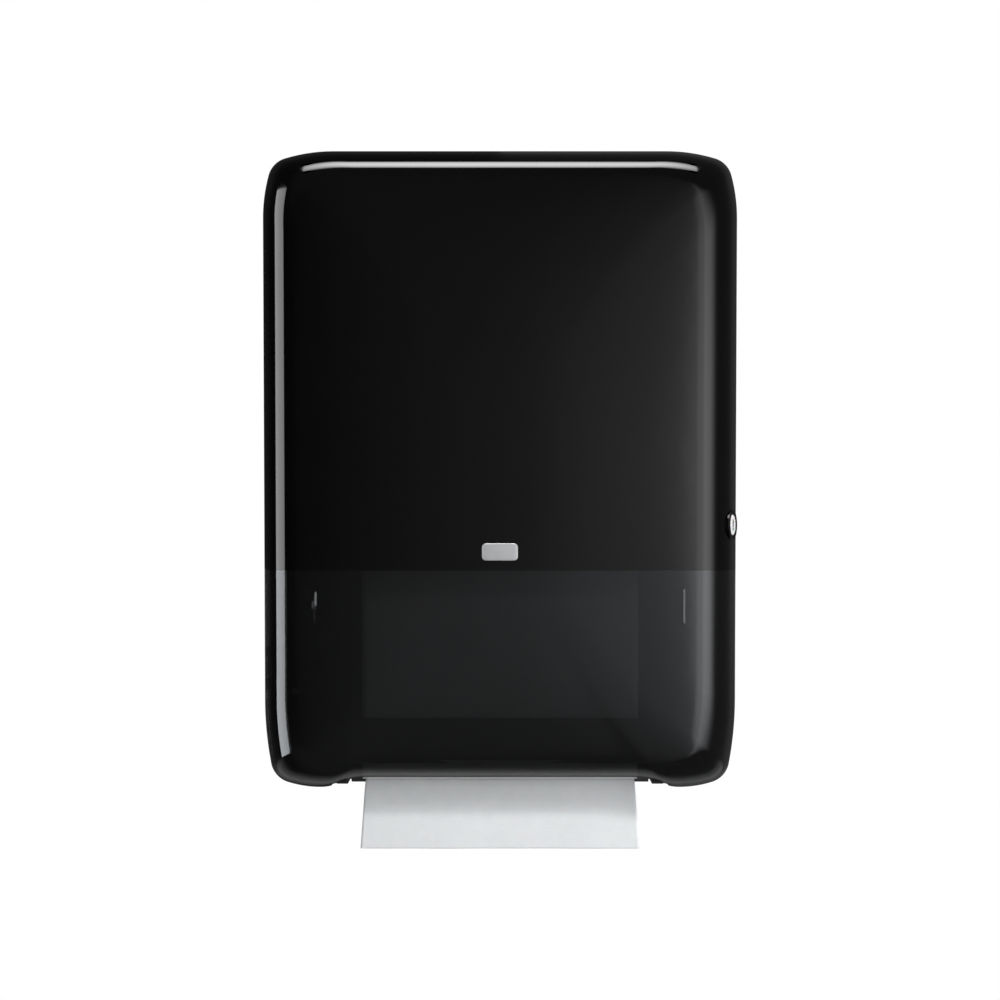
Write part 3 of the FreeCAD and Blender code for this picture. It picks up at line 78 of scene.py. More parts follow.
def finish(name, deep, pale, patch, rough, relief, **values):
    """A moulded, drawn or ground finish. Colour and roughness drift together over patches of a given size
    in mm, and the relief (size across, size along X, height, all in mm) stands up from the surface. Grain
    and lines that would be too fine to show are drawn coarser than the real ones."""
    material = bpy.data.materials.new(name)
    material.use_nodes = True
    tree = material.node_tree
    shader = tree.nodes["Principled BSDF"]
    for socket, value in values.items():
        shader.inputs[socket.replace("_", " ")].default_value = value
    across, along, height = relief
    place = add(tree, "ShaderNodeTexCoord").outputs["Object"]
    drift = add(tree, "ShaderNodeTexNoise", {"Vector": place, "Scale": 1 / (patch * MM), "Detail": 4.0})
    colour = add(tree, "ShaderNodeMix", {0: drift, 6: linear(deep), 7: linear(pale)}, data_type="RGBA")
    sheen = add(tree, "ShaderNodeMapRange", {"Value": drift, "To Min": rough[0], "To Max": rough[1]})
    laid = add(tree, "ShaderNodeMapping", {"Vector": place, "Scale": (across / along, 1, 1)})
    grain = add(tree, "ShaderNodeTexNoise", {"Vector": laid, "Scale": 1 / (across * MM), "Detail": 2.0})
    bump = add(tree, "ShaderNodeBump", {"Height": grain, "Distance": height * MM, "Strength": 1.0})
    tree.links.new(colour.outputs[2], shader.inputs["Base Color"])
    tree.links.new(sheen.outputs[0], shader.inputs["Roughness"])
    tree.links.new(bump.outputs[0], shader.inputs["Normal"])
    return material


def dress(material, *nodes):
    """Gives the meshes of CAD nodes their material."""
    for node in nodes:
        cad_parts[node].data.materials.clear()
        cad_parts[node].data.materials.append(material)


eroded_abs = finish("spark_eroded_black_abs", "#111112", "#1a1a1b", patch=60, rough=(0.42, 0.55),
                    relief=(0.6, 0.6, 0.02), IOR=1.54)
dress(eroded_abs, "rear_housing")

# Hinge pins: 2.4 mm drawn steel, pressed into the housing's knuckles.
# Drawing leaves the metal bright, with faint lines that spread its highlight.
drawn_steel = finish("bright_drawn_steel", "#9c9da0", "#b6b7b9", patch=12, rough=(0.2, 0.32),
                     relief=(0.4, 4.0, 0.006), Metallic=1.0)
dress(drawn_steel, "hinge_pin_upper", "hinge_pin_lower")

# Magazine: two side walls and a floor in dark grey ABS, screwed to the back plate round the stack.
# The mould is vapour-blasted, so the faces are satin, with the edges rounded as tools leave them.
satin_abs = finish("satin_grey_abs", "#1a1b1d", "#232427", patch=50, rough=(0.34, 0.44),
                   relief=(0.9, 0.9, 0.012), IOR=1.54)
SHARP = 30


def crease(piece, angle=SHARP):
    """Shades a piece smooth, save across the edges that turn by more than an angle in degrees."""
    piece.data.polygons.foreach_set("use_smooth", np.ones(len(piece.data.polygons), bool))
    piece.data.set_sharp_from_angle(angle=math.radians(angle))


def softened(node, material, width):
    """A copy of a dark moulding's CAD node with its edges rounded. Its triangles are joined, the flat ones
    merged into whole faces, and a bevel of a width in mm runs along each sharp edge."""
    mesh = bpy.data.meshes.new(f"{node}_moulding")
    work = bmesh.new()
    work.from_mesh(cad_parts[node].data)
    bmesh.ops.remove_doubles(work, verts=work.verts, dist=1e-6)
    bmesh.ops.dissolve_limit(work, angle_limit=math.radians(0.5), verts=work.verts, edges=work.edges)
    work.to_mesh(mesh)
    work.free()
    piece = bpy.data.objects.new(f"{node}_moulding", mesh)
    bpy.context.scene.collection.objects.link(piece)
    crease(piece)
    edge = piece.modifiers.new("edge", "BEVEL")
    edge.width = width * MM
    edge.segments = 2
    edge.limit_method = "ANGLE"
    edge.angle_limit = math.radians(SHARP)
    edge.harden_normals = True
    mesh.materials.append(material)
    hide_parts(node)
    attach(piece, "housing")


for node in ("magazine_left_wall", "magazine_right_wall", "magazine_floor"):
    softened(node, satin_abs, width=0.4)

# Front frame: a flat dark grey ABS moulding round the loading opening, held by four blacked screws.
# Its rounded rim catches a thin line of light, and the blacking dulls the screws almost out of sight.
softened("front_frame", satin_abs, width=0.5)
blacked_steel = finish("blacked_steel", "#0d0d0e", "#161617", patch=3, rough=(0.4, 0.5),
                       relief=(0.3, 0.3, 0.01), Metallic=0.6)
dress(blacked_steel, "frame_screws")

# Frame clips: hooks on the frame's legs whose round backs are faced with bright spring steel.
# The window's inside closes against them, and each shows as a thin upright line of light.
bright_spring = finish("bright_spring_steel", "#b9babc", "#cfd0d2", patch=6, rough=(0.1, 0.16),
                       relief=(0.3, 3.0, 0.003), Metallic=1.0)
CLIP_ROWS, CLIP_SIDES = 49, 25
CLIP_SPINE = 2.0


def grid_faces(rows, columns, around=True):
    """Four-sided faces between the neighbouring rows of a grid of points, closed round each row if asked."""
    steps = columns if around else columns - 1
    row, column = np.meshgrid(np.arange(rows - 1), np.arange(steps), indexing="ij")
    after = (column + 1) % columns
    corners = [row * columns + column, row * columns + after, (row + 1) * columns + after]
    return np.stack([*corners, (row + 1) * columns + column], -1).reshape(-1, 4)


def capped_faces(rows, columns, reverse=False):
    """The faces of a closed body of rings: the grid between them and a flat one at both ends, all of them
    turned round if asked."""
    ring = np.arange(columns)
    faces = [grid_faces(rows, columns), ring[None, ::-1], (ring + (rows - 1) * columns)[None]]
    return [group[:, ::-1] for group in faces] if reverse else faces


def new_piece(name, points, *faces):
    """A smooth piece from an array of points in mm and arrays of faces."""
    mesh = bpy.data.meshes.new(name)
    corners = [face for group in faces for face in group.tolist()]
    mesh.from_pydata((np.reshape(points, (-1, 3)) * MM).tolist(), [], corners)
    mesh.polygons.foreach_set("use_smooth", np.ones(len(mesh.polygons), bool))
    piece = bpy.data.objects.new(name, mesh)
    bpy.context.scene.collection.objects.link(piece)
    return piece


def clip_hook(node):
    """A hook as rings along Z. Each ring is a half-round: x is the half width times the cosine and y the
    proud height times the sine of an angle from 0 to 180 degrees, which is set on the frame's face. A
    logistic step two fifths of the way down takes the height from the nose's to the spine's, and it falls
    to nothing at both ends."""
    low, high = (np.array(corner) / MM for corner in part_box(node))
    run = np.linspace(0, 1, CLIP_ROWS)
    nose = 1 / (1 + np.exp((run - 0.4) / 0.03))
    ends = np.clip(np.minimum(run, 1 - run) / 0.06, 0, 1) ** 0.5
    proud = (CLIP_SPINE + (high[1] - low[1] - CLIP_SPINE) * nose) * ends
    half_width = (high[0] - low[0]) / 2 * (0.4 + 0.6 * ends[:, None])
    turn = np.linspace(0, np.pi, CLIP_SIDES)
    points = np.empty((CLIP_ROWS, CLIP_SIDES, 3))
    points[..., 0] = (low[0] + high[0]) / 2 + half_width * np.cos(turn)
    points[..., 1] = high[1] - proud[:, None] * np.sin(turn)
    points[..., 2] = (high[2] - (high[2] - low[2]) * run)[:, None]
    return new_piece(f"{node}_hook", points, *capped_faces(CLIP_ROWS, CLIP_SIDES))


for node in ("frame_clip_left", "frame_clip_right"):
    hook = clip_hook(node)
    hook.data.materials.append(bright_spring)
    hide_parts(node)
    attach(hook, "housing")

# Guide roller: an extruded grey plastic tube with acetal end caps, on a fixed steel axle in two brackets.
# The tube keeps faint lines from its die, and the caps have acetal's waxy, slightly clear look.
extruded = finish("extruded_grey_plastic", "#2a2b2d", "#35363a", patch=20, rough=(0.3, 0.38),
                  relief=(0.7, 12.0, 0.01), IOR=1.5)
acetal = finish("natural_acetal", "#c9c6bc", "#d7d4cb", patch=15, rough=(0.3, 0.4),
                relief=(0.6, 0.6, 0.008), IOR=1.48, Subsurface_Weight=0.1, Subsurface_Scale=2 * MM)
dress(extruded, "guide_roller_tube")
dress(acetal, "guide_cap_left", "guide_cap_right")
dress(drawn_steel, "guide_axle")
for node in ("guide_bracket_left", "guide_bracket_right"):
    softened(node, satin_abs, width=0.3)

# Nip rollers: plastic shafts with five ground rubber rings each, turning in acetal bushes in two blocks.
# The rubber is dull and slightly dusty, so that it grips the tissue.
ground_rubber = finish("ground_nitrile_rubber", "#0e0e0e", "#181818", patch=8, rough=(0.75, 0.9),
                       relief=(0.5, 0.5, 0.03), IOR=1.5)
dress(extruded, "front_roller_shaft", "rear_roller_shaft")
dress(ground_rubber, "front_roller_rings", "rear_roller_rings")
dress(acetal, "roller_bush_left", "roller_bush_right")
for node in ("bearing_block_left", "bearing_block_right"):
    softened(node, satin_abs, width=0.4)

# Pressure carriage: an ABS cradle on a steel pivot, pushed forwards by two springs of 1 mm wire,
# so that the rear roller presses the web against the front one.
dress(satin_abs, "pressure_carriage")
dress(drawn_steel, "carriage_pivot")
WIRE_RADIUS = 0.5
COIL_RADIUS = 3.0
COIL_TURNS = 5.5
COIL_PLACE = np.array([100.0, -40.0])
COIL_FOOT = -200.17
COIL_RISE = 10.94
COIL_ROWS, WIRE_SIDES = 177, 12


def coil(x, y):
    """A wire wound round a line along Z. For a share s of its length the height goes as
    s - 0.45 sin(2 pi s) / (2 pi), which closes the turns at both ends, and its section leans back round
    the coil by its own height times the climb."""
    share = np.linspace(0, 1, COIL_ROWS)[:, None]
    turn = 2 * np.pi * COIL_TURNS * share
    rise = COIL_FOOT + COIL_RISE * (share - 0.45 * np.sin(2 * np.pi * share) / (2 * np.pi))
    climb = COIL_RISE / (2 * np.pi * COIL_TURNS * COIL_RADIUS) * (1 - 0.45 * np.cos(2 * np.pi * share))
    section = np.linspace(0, 2 * np.pi, WIRE_SIDES, endpoint=False)
    out = COIL_RADIUS + WIRE_RADIUS * np.cos(section)
    above = WIRE_RADIUS * np.sin(section)
    lean = turn - above * climb / COIL_RADIUS
    points = np.stack([x + out * np.cos(lean), y + out * np.sin(lean), rise + above], -1)
    return new_piece("pressure_spring", points, *capped_faces(COIL_ROWS, WIRE_SIDES, reverse=True))


for side in (-1, 1):
    spring = coil(*COIL_PLACE * [side, 1])
    spring.data.materials.append(drawn_steel)
    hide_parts("pressure_springs")
    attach(spring, "housing")
    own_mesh(spring)

# Roller guard and outlet plate: satin mid grey ABS covers in front of and behind the rollers, fixed to the
# bearing blocks and the back plate. They keep fingers off the nip, and look a little paler than the frame.
guard_abs = finish("satin_mid_grey_abs", "#38393b", "#424346", patch=50, rough=(0.34, 0.44),
                   relief=(0.9, 0.9, 0.012), IOR=1.54)
for node in ("roller_guard", "outlet_plate"):
    softened(node, guard_abs, width=0.4)


# Towel bundles: five packs of folded white two-ply tissue, standing in the magazine.
# Each fold bulges in a half-round, and creping leaves fine ridges across the sheet.
def tissue(name, deep, pale):
    """Creped tissue: a fibre mottle 9 mm across, ridges 1.2 mm apart, drawn coarser than real crepe so that
    they show, and a soft matt surface through which a little light spreads."""
    material = bpy.data.materials.new(name)
    material.use_nodes = True
    tree = material.node_tree
    shader = tree.nodes["Principled BSDF"]
    for socket, value in (("Roughness", 0.95), ("IOR", 1.4), ("Subsurface Weight", 0.08),
                          ("Subsurface Scale", 2 * MM), ("Sheen Weight", 0.1)):
        shader.inputs[socket].default_value = value
    place = add(tree, "ShaderNodeTexCoord").outputs["Object"]
    mottle = add(tree, "ShaderNodeTexNoise", {"Vector": place, "Scale": 1 / (9 * MM), "Detail": 6.0})
    laid = add(tree, "ShaderNodeMapping", {"Vector": place, "Scale": (0.2, 1, 1)})
    crepe = add(tree, "ShaderNodeTexNoise", {"Vector": laid, "Scale": 1 / (1.2 * MM), "Detail": 3.0})
    colour = add(tree, "ShaderNodeMix", {0: mottle, 6: linear(deep), 7: linear(pale)}, data_type="RGBA")
    bump = add(tree, "ShaderNodeBump", {"Height": crepe, "Distance": 0.1 * MM, "Strength": 1.0})
    tree.links.new(colour.outputs[2], shader.inputs["Base Color"])
    tree.links.new(bump.outputs[0], shader.inputs["Normal"])
    return material


white_tissue = tissue("creped_white_tissue", "#e6e8ea", "#f0f1f3")
FOLDS = 24
FOLD_POINTS = 8
BUNDLE_ROWS = 41
BUNDLE_GAP = 0.3


def folded_bundle(node, seed):
    """A pack of folds. Its side view is a loop: up the front z rises by one pitch per fold as a cosine, and
    y bulges by 0.8 mm as a sine; the back mirrors it. Along X the loop repeats, drawn in at both ends, and
    each fold stands back or forward by up to 0.5 mm, by a slow wave of its own."""
    low, high = (np.array(corner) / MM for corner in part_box(node))
    run = np.arange(FOLDS * FOLD_POINTS) / FOLD_POINTS
    part = run % 1
    pitch = (high[2] - low[2] - 2 * BUNDLE_GAP) / FOLDS
    rise = low[2] + BUNDLE_GAP + pitch * (np.floor(run) + 0.5 - 0.5 * np.cos(np.pi * part))
    across = np.linspace(-1, 1, BUNDLE_ROWS)[:, None]
    fold = np.floor(run)[None]
    wander = 0.5 + 0.5 * np.sin(fold * 2.4 + seed) * np.cos(across * 2 + fold + seed)
    ends = 1.2 * np.abs(across) ** 14
    inset = BUNDLE_GAP + 0.8 * (1 - np.sin(np.pi * part))[None] + 0.5 * wander + ends
    points = np.empty((BUNDLE_ROWS, 2 * len(run), 3))
    points[..., 0] = (low[0] + high[0]) / 2 + across * ((high[0] - low[0]) / 2 - 0.2)
    points[..., 1] = np.concatenate([low[1] + inset, (high[1] - inset)[:, ::-1]], 1)
    points[..., 2] = np.concatenate([rise, rise[::-1]])
    return new_piece(f"{node}_folds", points, *capped_faces(BUNDLE_ROWS, 2 * len(run), reverse=True))


for number in range(1, 6):
    bundle = folded_bundle(f"towel_bundle_{number}", number)
    bundle.data.materials.append(white_tissue)
    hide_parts(f"towel_bundle_{number}")
    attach(bundle, "housing")

# Towel web: the leading towel, drawn up from the stack, over the guide roller and down behind the window.
# It is held stretched between the stack, the roller and the nip, as a flat band 0.4 mm thick with its ply.
PLY = 0.4
WEB_WIDTH = 209.6
STACK_TOP = (-45.0, 161.2)
ROLLER_AIR = 0.6
BEND_Z = -190.7
BEND_FOOT = (-82.9, -195.7)
NIP_Y = -74.0
NIP_Z = -215.7
WEB_END = -236.6


def straight(start, end, count):
    """Evenly spaced points from start, which is left out, to end."""
    share = np.arange(1, count + 1)[:, None] / count
    return np.array(start, float) * (1 - share) + np.array(end, float) * share


def eased(start, corner, end, count):
    """A soft bend: points of the quadratic curve from start to end that its corner pulls on."""
    share = np.linspace(0, 1, count + 1)[1:, None]
    pulled = 2 * share * (1 - share) * np.array(corner)
    return (1 - share) ** 2 * np.array(start) + pulled + share ** 2 * np.array(end)


def band(name, path, half_width, wave):
    """A sheet along a path of (y, z) points, closed into a thin solid. Each point is the path's, moved by
    the wave and by half the ply along the path's normal, once to either side. Its x is the half width times
    a share from -1 to 1."""
    along = np.gradient(path, axis=0)
    along /= np.linalg.norm(along, axis=1)[:, None]
    rows, columns = wave.shape
    x = half_width[:, None] * np.linspace(-1, 1, columns)
    sides = []
    for side in (PLY / 2, -PLY / 2):
        y = path[:, :1] + along[:, 1:] * side + wave
        z = path[:, 1:] - along[:, :1] * side + 0 * wave
        sides.append(np.stack([x, y, z], -1))
    count = rows * columns
    quads = grid_faces(rows, columns, around=False)
    head, left = np.arange(columns), np.arange(rows) * columns
    edges = (head, (head + count - columns)[::-1], left[::-1], left + columns - 1)
    rims = [np.stack([edge[:-1], edge[1:], edge[1:] + count, edge[:-1] + count], 1) for edge in edges]
    return new_piece(name, np.stack(sides), quads[:, ::-1], quads + count, *rims)


guide_low, guide_high = (np.array(corner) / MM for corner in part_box("guide_roller_tube"))
guide = (guide_low[1:] + guide_high[1:]) / 2
lap = (guide_high[1] - guide_low[1]) / 2 + ROLLER_AIR
reach = STACK_TOP - guide
touch = math.atan2(reach[1], reach[0]) + math.acos(lap / np.linalg.norm(reach))
turn = np.linspace(touch, math.pi, 24)[:, None]
over = guide + lap * np.concatenate([np.cos(turn), np.sin(turn)], 1)
front_y = over[-1, 0]
path = np.concatenate([
    [STACK_TOP], straight(STACK_TOP, over[0], 6)[:-1], over,
    straight(over[-1], (front_y, BEND_Z + 6), 40),
    eased((front_y, BEND_Z + 6), (front_y, BEND_Z), BEND_FOOT, 10),
    eased(BEND_FOOT, (NIP_Y, NIP_Z + 6), (NIP_Y, NIP_Z), 14),
    straight((NIP_Y, NIP_Z), (NIP_Y, WEB_END), 8),
])
web = band("towel_web_sheet", path, np.full(len(path), WEB_WIDTH / 2), np.zeros((len(path), 41)))
web.data.materials.append(white_tissue)
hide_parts("towel_web")
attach(web, "housing")

# Hanging towel: the end that the hand takes, hanging from the nip with a soft crease from its fold.
# It leans back to the crease and comes forwards below it, so the lower part catches more light.
HANG = 53.5
TOP_HALF_WIDTH = 102.4
HEM_SPREAD = 4.2


def step(values, middle, soft):
    """Goes smoothly from 0 to 1 about a middle: half of one plus the hyperbolic tangent."""
    return (np.tanh((values - middle) / soft) + 1) / 2


drop = np.linspace(0, HANG, 60)
lean = 0.27 * step(drop, 7, 4) - 0.43 * step(drop, 26.5, 2.6)
setback = np.concatenate([[0], np.cumsum((lean[1:] + lean[:-1]) / 2 * np.diff(drop))])
share = (drop / HANG)[:, None]
across = np.linspace(-1, 1, 121)
wide_wave = share ** 1.5 * 0.35 * np.sin(across * 5.1 + 0.6)
small_wave = share * 0.18 * np.sin(across * 13 + drop[:, None] * 0.06)
path = np.stack([NIP_Y + setback, WEB_END - drop], 1)
half_width = TOP_HALF_WIDTH + HEM_SPREAD * share[:, 0] ** 0.8
hanging = band("hanging_towel_sheet", path, half_width, wide_wave + small_wave)
hanging.data.materials.append(white_tissue)
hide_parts("hanging_towel")
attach(hanging, "housing")
# In the polished lip above it, it would show as a bright line that the soft light doesn't give a real case.
hanging.visible_glossy = False

# Cover: the black ABS shell, an injection moulding 2.6 mm thick. Its mould is polished by hand, which gives
# a deep, wet-looking gloss. Tangent arcs draw its outline, which is carried forwards round a full shoulder.
HALF_WIDTH = 185.0
HALF_HEIGHT = 246.7
RIM = 24.3
DEPTH = 101.3
CROWN = 101.25
WALL = 2.6
SEAM = -77.0
LAP = 6.0
FAR = 400.0
BACK = 5
TOP_ARCS = ((132.6, 16.8, -1, 18), (18.4, 57.95, -1, 26), (126.5, 15.5, -1, 14))
FOOT_ARCS = ((266.7, 10.65, -1, 14), (19.1, 61.8, -1, 28), (86.2, 17.3, -1, 14))
TAPER = math.radians(0.25)
LOBE_RADIUS = 35.0
LOBE_ANGLE = 19
LOBE_DEPTH = 6.1
SHOULDER = 90
EDGE = 26
FRONT_SLOPE = math.radians(1.25)
END_INSET = 0.8
DOME_RINGS = 31
DRIFT = 0.75
HINGE = (-181.6, -24.3)
HINGE_HEIGHT = 154.7
PIN_BORE = 1.25
BORE_HALF = 12
KNUCKLE_RADIUS = 2.5
KNUCKLE_HALF = 7.7
NOTCH = 8.6
NOTCH_EDGE = (-177.6, -30.2)
LOCK = np.array([176.69, -78.73, -42.8])
LOCK_TURN = math.radians(20)
LOCK_WAY = np.array([math.cos(LOCK_TURN), -math.sin(LOCK_TURN), 0])
LOCK_SIDE = np.array([-LOCK_WAY[1], LOCK_WAY[0], 0])
LOCK_BOSS = 11.1
LOCK_BORE = 10.45


def arcs(start, heading, *runs):
    """Points along tangent arcs. Each arc (radius, angle, way, count) turns the heading steadily by its
    angle; a point is the arc's centre plus its radius, square to the heading there."""
    points = []
    start = np.array(start, float)
    for radius, angle, way, count in runs:
        centre = start + way * radius * np.array([-math.sin(heading), math.cos(heading)])
        turned = heading + way * np.radians(angle) * np.arange(1, count + 1) / count
        points.append(centre + way * radius * np.stack([np.sin(turned), -np.cos(turned)], 1))
        start, heading = points[-1][-1], turned[-1]
    return np.concatenate(points)


def case_outline():
    """The front outline as a closed loop: half of it from the top's middle clockwise, then its mirror image.
    The top corner, the side with a quarter degree of taper, the foot and the lobe join without a kink, and
    the lobe's arc turns back into a reverse arc that runs out level at the mouth."""
    corner = arcs((0, 0), 0.0, *TOP_ARCS)
    foot = arcs((0, 0), -math.pi / 2 - TAPER, *FOOT_ARCS)
    drop = 2 * HALF_HEIGHT + corner[-1, 1] + foot[-1, 1]
    flat = np.array([HALF_WIDTH - corner[-1, 0], HALF_HEIGHT])
    side_top = flat + corner[-1]
    side_foot = side_top - np.array([drop * math.tan(TAPER), drop])
    back = LOBE_DEPTH / (1 - math.cos(math.radians(LOBE_ANGLE))) - LOBE_RADIUS
    lobe = arcs(side_foot + foot[-1], math.pi, (LOBE_RADIUS, LOBE_ANGLE, -1, 16), (back, LOBE_ANGLE, 1, 16))
    half = np.concatenate([
        straight((0, HALF_HEIGHT), flat, 34), corner + flat, straight(side_top, side_foot, 90),
        foot + side_foot, lobe, straight(lobe[-1], (0, lobe[-1, 1]), 26),
    ])
    return np.concatenate([half, (half * [-1, 1])[::-1][1:], [[0.0, HALF_HEIGHT]]])


def side_profile():
    """The profile as inset, forward distance and lean: straight at 4 degrees of draft, an arc of 90 mm to 22
    degrees and an arc of 26 mm to 87.5 degrees. Along an arc the inset grows by the radius times the fall of
    the lean's cosine, and the distance by the radius times the rise of its sine. The straight part is what
    the depth leaves after the arcs and the front's own slope."""
    draft, turn, top = np.radians([4.0, 22.0, 87.5])
    edge = EDGE * np.array([math.cos(turn) - math.cos(top), math.sin(top) - math.sin(turn)])
    shoulder = SHOULDER * np.array([math.cos(draft) - math.cos(turn), math.sin(turn) - math.sin(draft)])
    rise = (HALF_WIDTH - edge[0] - shoulder[0]) * math.tan(FRONT_SLOPE)
    run = DEPTH - RIM - edge[1] - shoulder[1] - rise
    bend, corner = np.linspace(draft, turn, 9)[1:], np.linspace(turn, top, 25)[1:]
    start = run * math.tan(draft)
    inset = np.concatenate([
        start * np.array([0, 0.5, 1]), start + SHOULDER * (math.cos(draft) - np.cos(bend)),
        start + shoulder[0] + EDGE * (math.cos(turn) - np.cos(corner)),
    ])
    forward = np.concatenate([
        run * np.array([0, 0.5, 1]), run + SHOULDER * (np.sin(bend) - math.sin(draft)),
        run + shoulder[1] + EDGE * (np.sin(corner) - math.sin(turn)),
    ])
    return inset, RIM + forward, np.concatenate([np.full(3, draft), bend, corner])


def skin(wall):
    """Rings of the cover's skin, drawn in by a wall. Up to the dome each ring is the outline drawn in by its
    inset, four fifths as much at the ends. On the dome the rings shrink to a point, drift from the outline's
    shape to an ellipse within three quarters of the way, and gain height with one minus the square of what
    is left."""
    outline = case_outline()
    inset, forward, lean = side_profile()
    inset, forward = inset + wall * np.cos(lean), forward - wall * np.sin(lean)
    scale = np.stack([1 - inset / HALF_WIDTH, 1 - END_INSET * inset / HALF_HEIGHT], 1)
    rings = outline * scale[:, None]
    last = rings[-1]
    reach = np.abs(last).max(0)
    turn = np.arctan2(last[:, 1] / reach[1], last[:, 0] / reach[0])
    ellipse = np.stack([np.cos(turn), np.sin(turn)], 1) * reach
    share = np.linspace(0, 1, DOME_RINGS)[1:-1, None, None]
    drift = np.clip(share / DRIFT, 0, 1)
    drift = drift * drift * (3 - 2 * drift)
    slope = END_INSET * reach[0] / reach[1]
    shrink = np.concatenate([1 - share, 1 - slope * share - (1 - slope) * share ** 3], 2)
    dome = (last * (1 - drift) + ellipse * drift) * shrink
    height = forward[-1] + (CROWN - wall - forward[-1]) * (1 - (1 - share[:, 0, 0]) ** 2)
    flat, depth = np.concatenate([rings, dome]), np.concatenate([forward, height])
    points = np.stack([flat[..., 0], np.broadcast_to(-depth[:, None], flat.shape[:2]), flat[..., 1]], -1)
    return points, np.array([[0, wall - CROWN, 0]])


def wall_between(name, outside, inside):
    """A closed wall: an outer skin, an inner one turned round, and a strip between them at the rim."""
    (outer, outer_tip), (inner, inner_tip) = skin(outside), skin(inside)
    rows, columns = outer.shape[:2]
    count = rows * columns
    quads = grid_faces(rows, columns)
    ring = np.arange(columns)
    after = (ring + 1) % columns
    last = count - columns
    tip = np.stack([last + ring, last + after, np.full(columns, 2 * count)], 1)
    rim = np.stack([after, ring, count + ring, count + after], 1)
    points = np.concatenate([outer.reshape(-1, 3), inner.reshape(-1, 3), outer_tip, inner_tip])
    return new_piece(name, points, quads, quads[:, ::-1] + count, tip, tip[:, ::-1] + [1, count, count], rim)


def bar(low, high, name="tool", origin=(0, 0, 0), axes=np.eye(3)):
    """A box between two corners, which are measured along three axes from an origin."""
    corners = np.stack(np.meshgrid(*zip(low, high), indexing="ij"), -1).reshape(-1, 3)
    faces = np.array([[0, 1, 3, 2], [4, 6, 7, 5], [0, 4, 5, 1], [2, 3, 7, 6], [0, 2, 6, 4], [1, 5, 7, 3]])
    return new_piece(name, origin + corners @ axes, faces)


def rod(radius, start, end, sides):
    """A round bar from start to end: two rings of points at the radius, with flat caps."""
    start, end = np.array(start, float), np.array(end, float)
    way = (end - start) / np.linalg.norm(end - start)
    side = np.cross(way, [0, 0, 1] if abs(way[2]) < 0.9 else [1, 0, 0])
    side /= np.linalg.norm(side)
    turn = np.linspace(0, 2 * np.pi, sides, endpoint=False)[:, None]
    ring = radius * (np.cos(turn) * side + np.sin(turn) * np.cross(way, side))
    return new_piece("tool", np.concatenate([ring + start, ring + end]), *capped_faces(2, sides))


def shaped(piece, operation, *tools):
    """Joins tools to a piece, cuts them from it or keeps what they share, and clears them away."""
    for tool in tools:
        cut = piece.modifiers.new("cut", "BOOLEAN")
        cut.operation, cut.solver, cut.object = operation, "EXACT", tool
    bpy.context.view_layer.update()
    result = bpy.data.meshes.new_from_object(piece.evaluated_get(bpy.context.evaluated_depsgraph_get()))
    piece.modifiers.clear()
    waste = [piece.data] + [tool.data for tool in tools]
    piece.data = result
    for tool in tools:
        bpy.data.objects.remove(tool)
    for mesh in waste:
        bpy.data.meshes.remove(mesh)


def hinge_tools(middle):
    """What cuts a hinge into the cover: two notches for the housing's knuckles, and the pin's bore."""
    x, y = NOTCH_EDGE
    feet = middle - KNUCKLE_HALF - NOTCH, middle + KNUCKLE_HALF
    notches = [bar((-FAR, y, foot), (x, BACK, foot + NOTCH)) for foot in feet]
    return notches + [rod(PIN_BORE, (*HINGE, middle - BORE_HALF), (*HINGE, middle + BORE_HALF), 24)]


def hinge_knuckle(middle):
    """The cover's own knuckle, between the housing's two."""
    return rod(KNUCKLE_RADIUS, (*HINGE, middle - KNUCKLE_HALF), (*HINGE, middle + KNUCKLE_HALF), 32)


cover = wall_between("cover_shell_moulding", 0, WALL)
lock_boss = rod(LOCK_BOSS, LOCK - 7 * LOCK_WAY, LOCK + 0.3 * LOCK_WAY, 64)
lock_bore = rod(LOCK_BORE, LOCK - 25 * LOCK_WAY, LOCK + 25 * LOCK_WAY, 64)
shaped(cover, "UNION", hinge_knuckle(HINGE_HEIGHT), lock_boss)
recess = wall_between("recess", WALL / 2, WALL + 1.5)
shaped(recess, "INTERSECT", bar((-FAR, -FAR, SEAM - 20), (FAR, BACK, SEAM + LAP)))
window_place = bar((-FAR, -FAR, -FAR), (FAR, BACK, SEAM))
shaped(cover, "DIFFERENCE", window_place, recess, *hinge_tools(HINGE_HEIGHT), lock_bore)
crease(cover, 32)
polished_abs = finish("hand_polished_black_abs", "#030303", "#050505", patch=45, rough=(0.05, 0.08),
                      relief=(25, 25, 0.02), IOR=1.5)
cover.data.materials.append(polished_abs)
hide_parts("cover_shell")
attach(cover, "cover")

# Window: the cover's lower half, moulded in smoke-tinted polycarbonate with a hard coat and lapped behind
# the shell. Its two glossy skins reflect more than the shell does, and its mouth clears the towel.
MOUTH_HALF_WIDTH = 130
MOUTH_FRONT = -78
MOUTH_TOP = -194.7
window = wall_between("smoked_window_moulding", 0, WALL)
tongue = wall_between("tongue", WALL / 2 + 0.2, WALL - 0.05)
shaped(tongue, "INTERSECT", bar((-FAR, -FAR, SEAM - 3), (FAR, -25, SEAM + LAP - 0.3)))
shell_place = bar((-FAR, -FAR, SEAM), (FAR, BACK, FAR))
mouth = bar((-MOUTH_HALF_WIDTH, MOUTH_FRONT, -FAR), (MOUTH_HALF_WIDTH, BACK, MOUTH_TOP))
shaped(window, "DIFFERENCE", shell_place)
shaped(window, "UNION", tongue, hinge_knuckle(-HINGE_HEIGHT))
shaped(window, "DIFFERENCE", mouth, *hinge_tools(-HINGE_HEIGHT))
crease(window, 32)
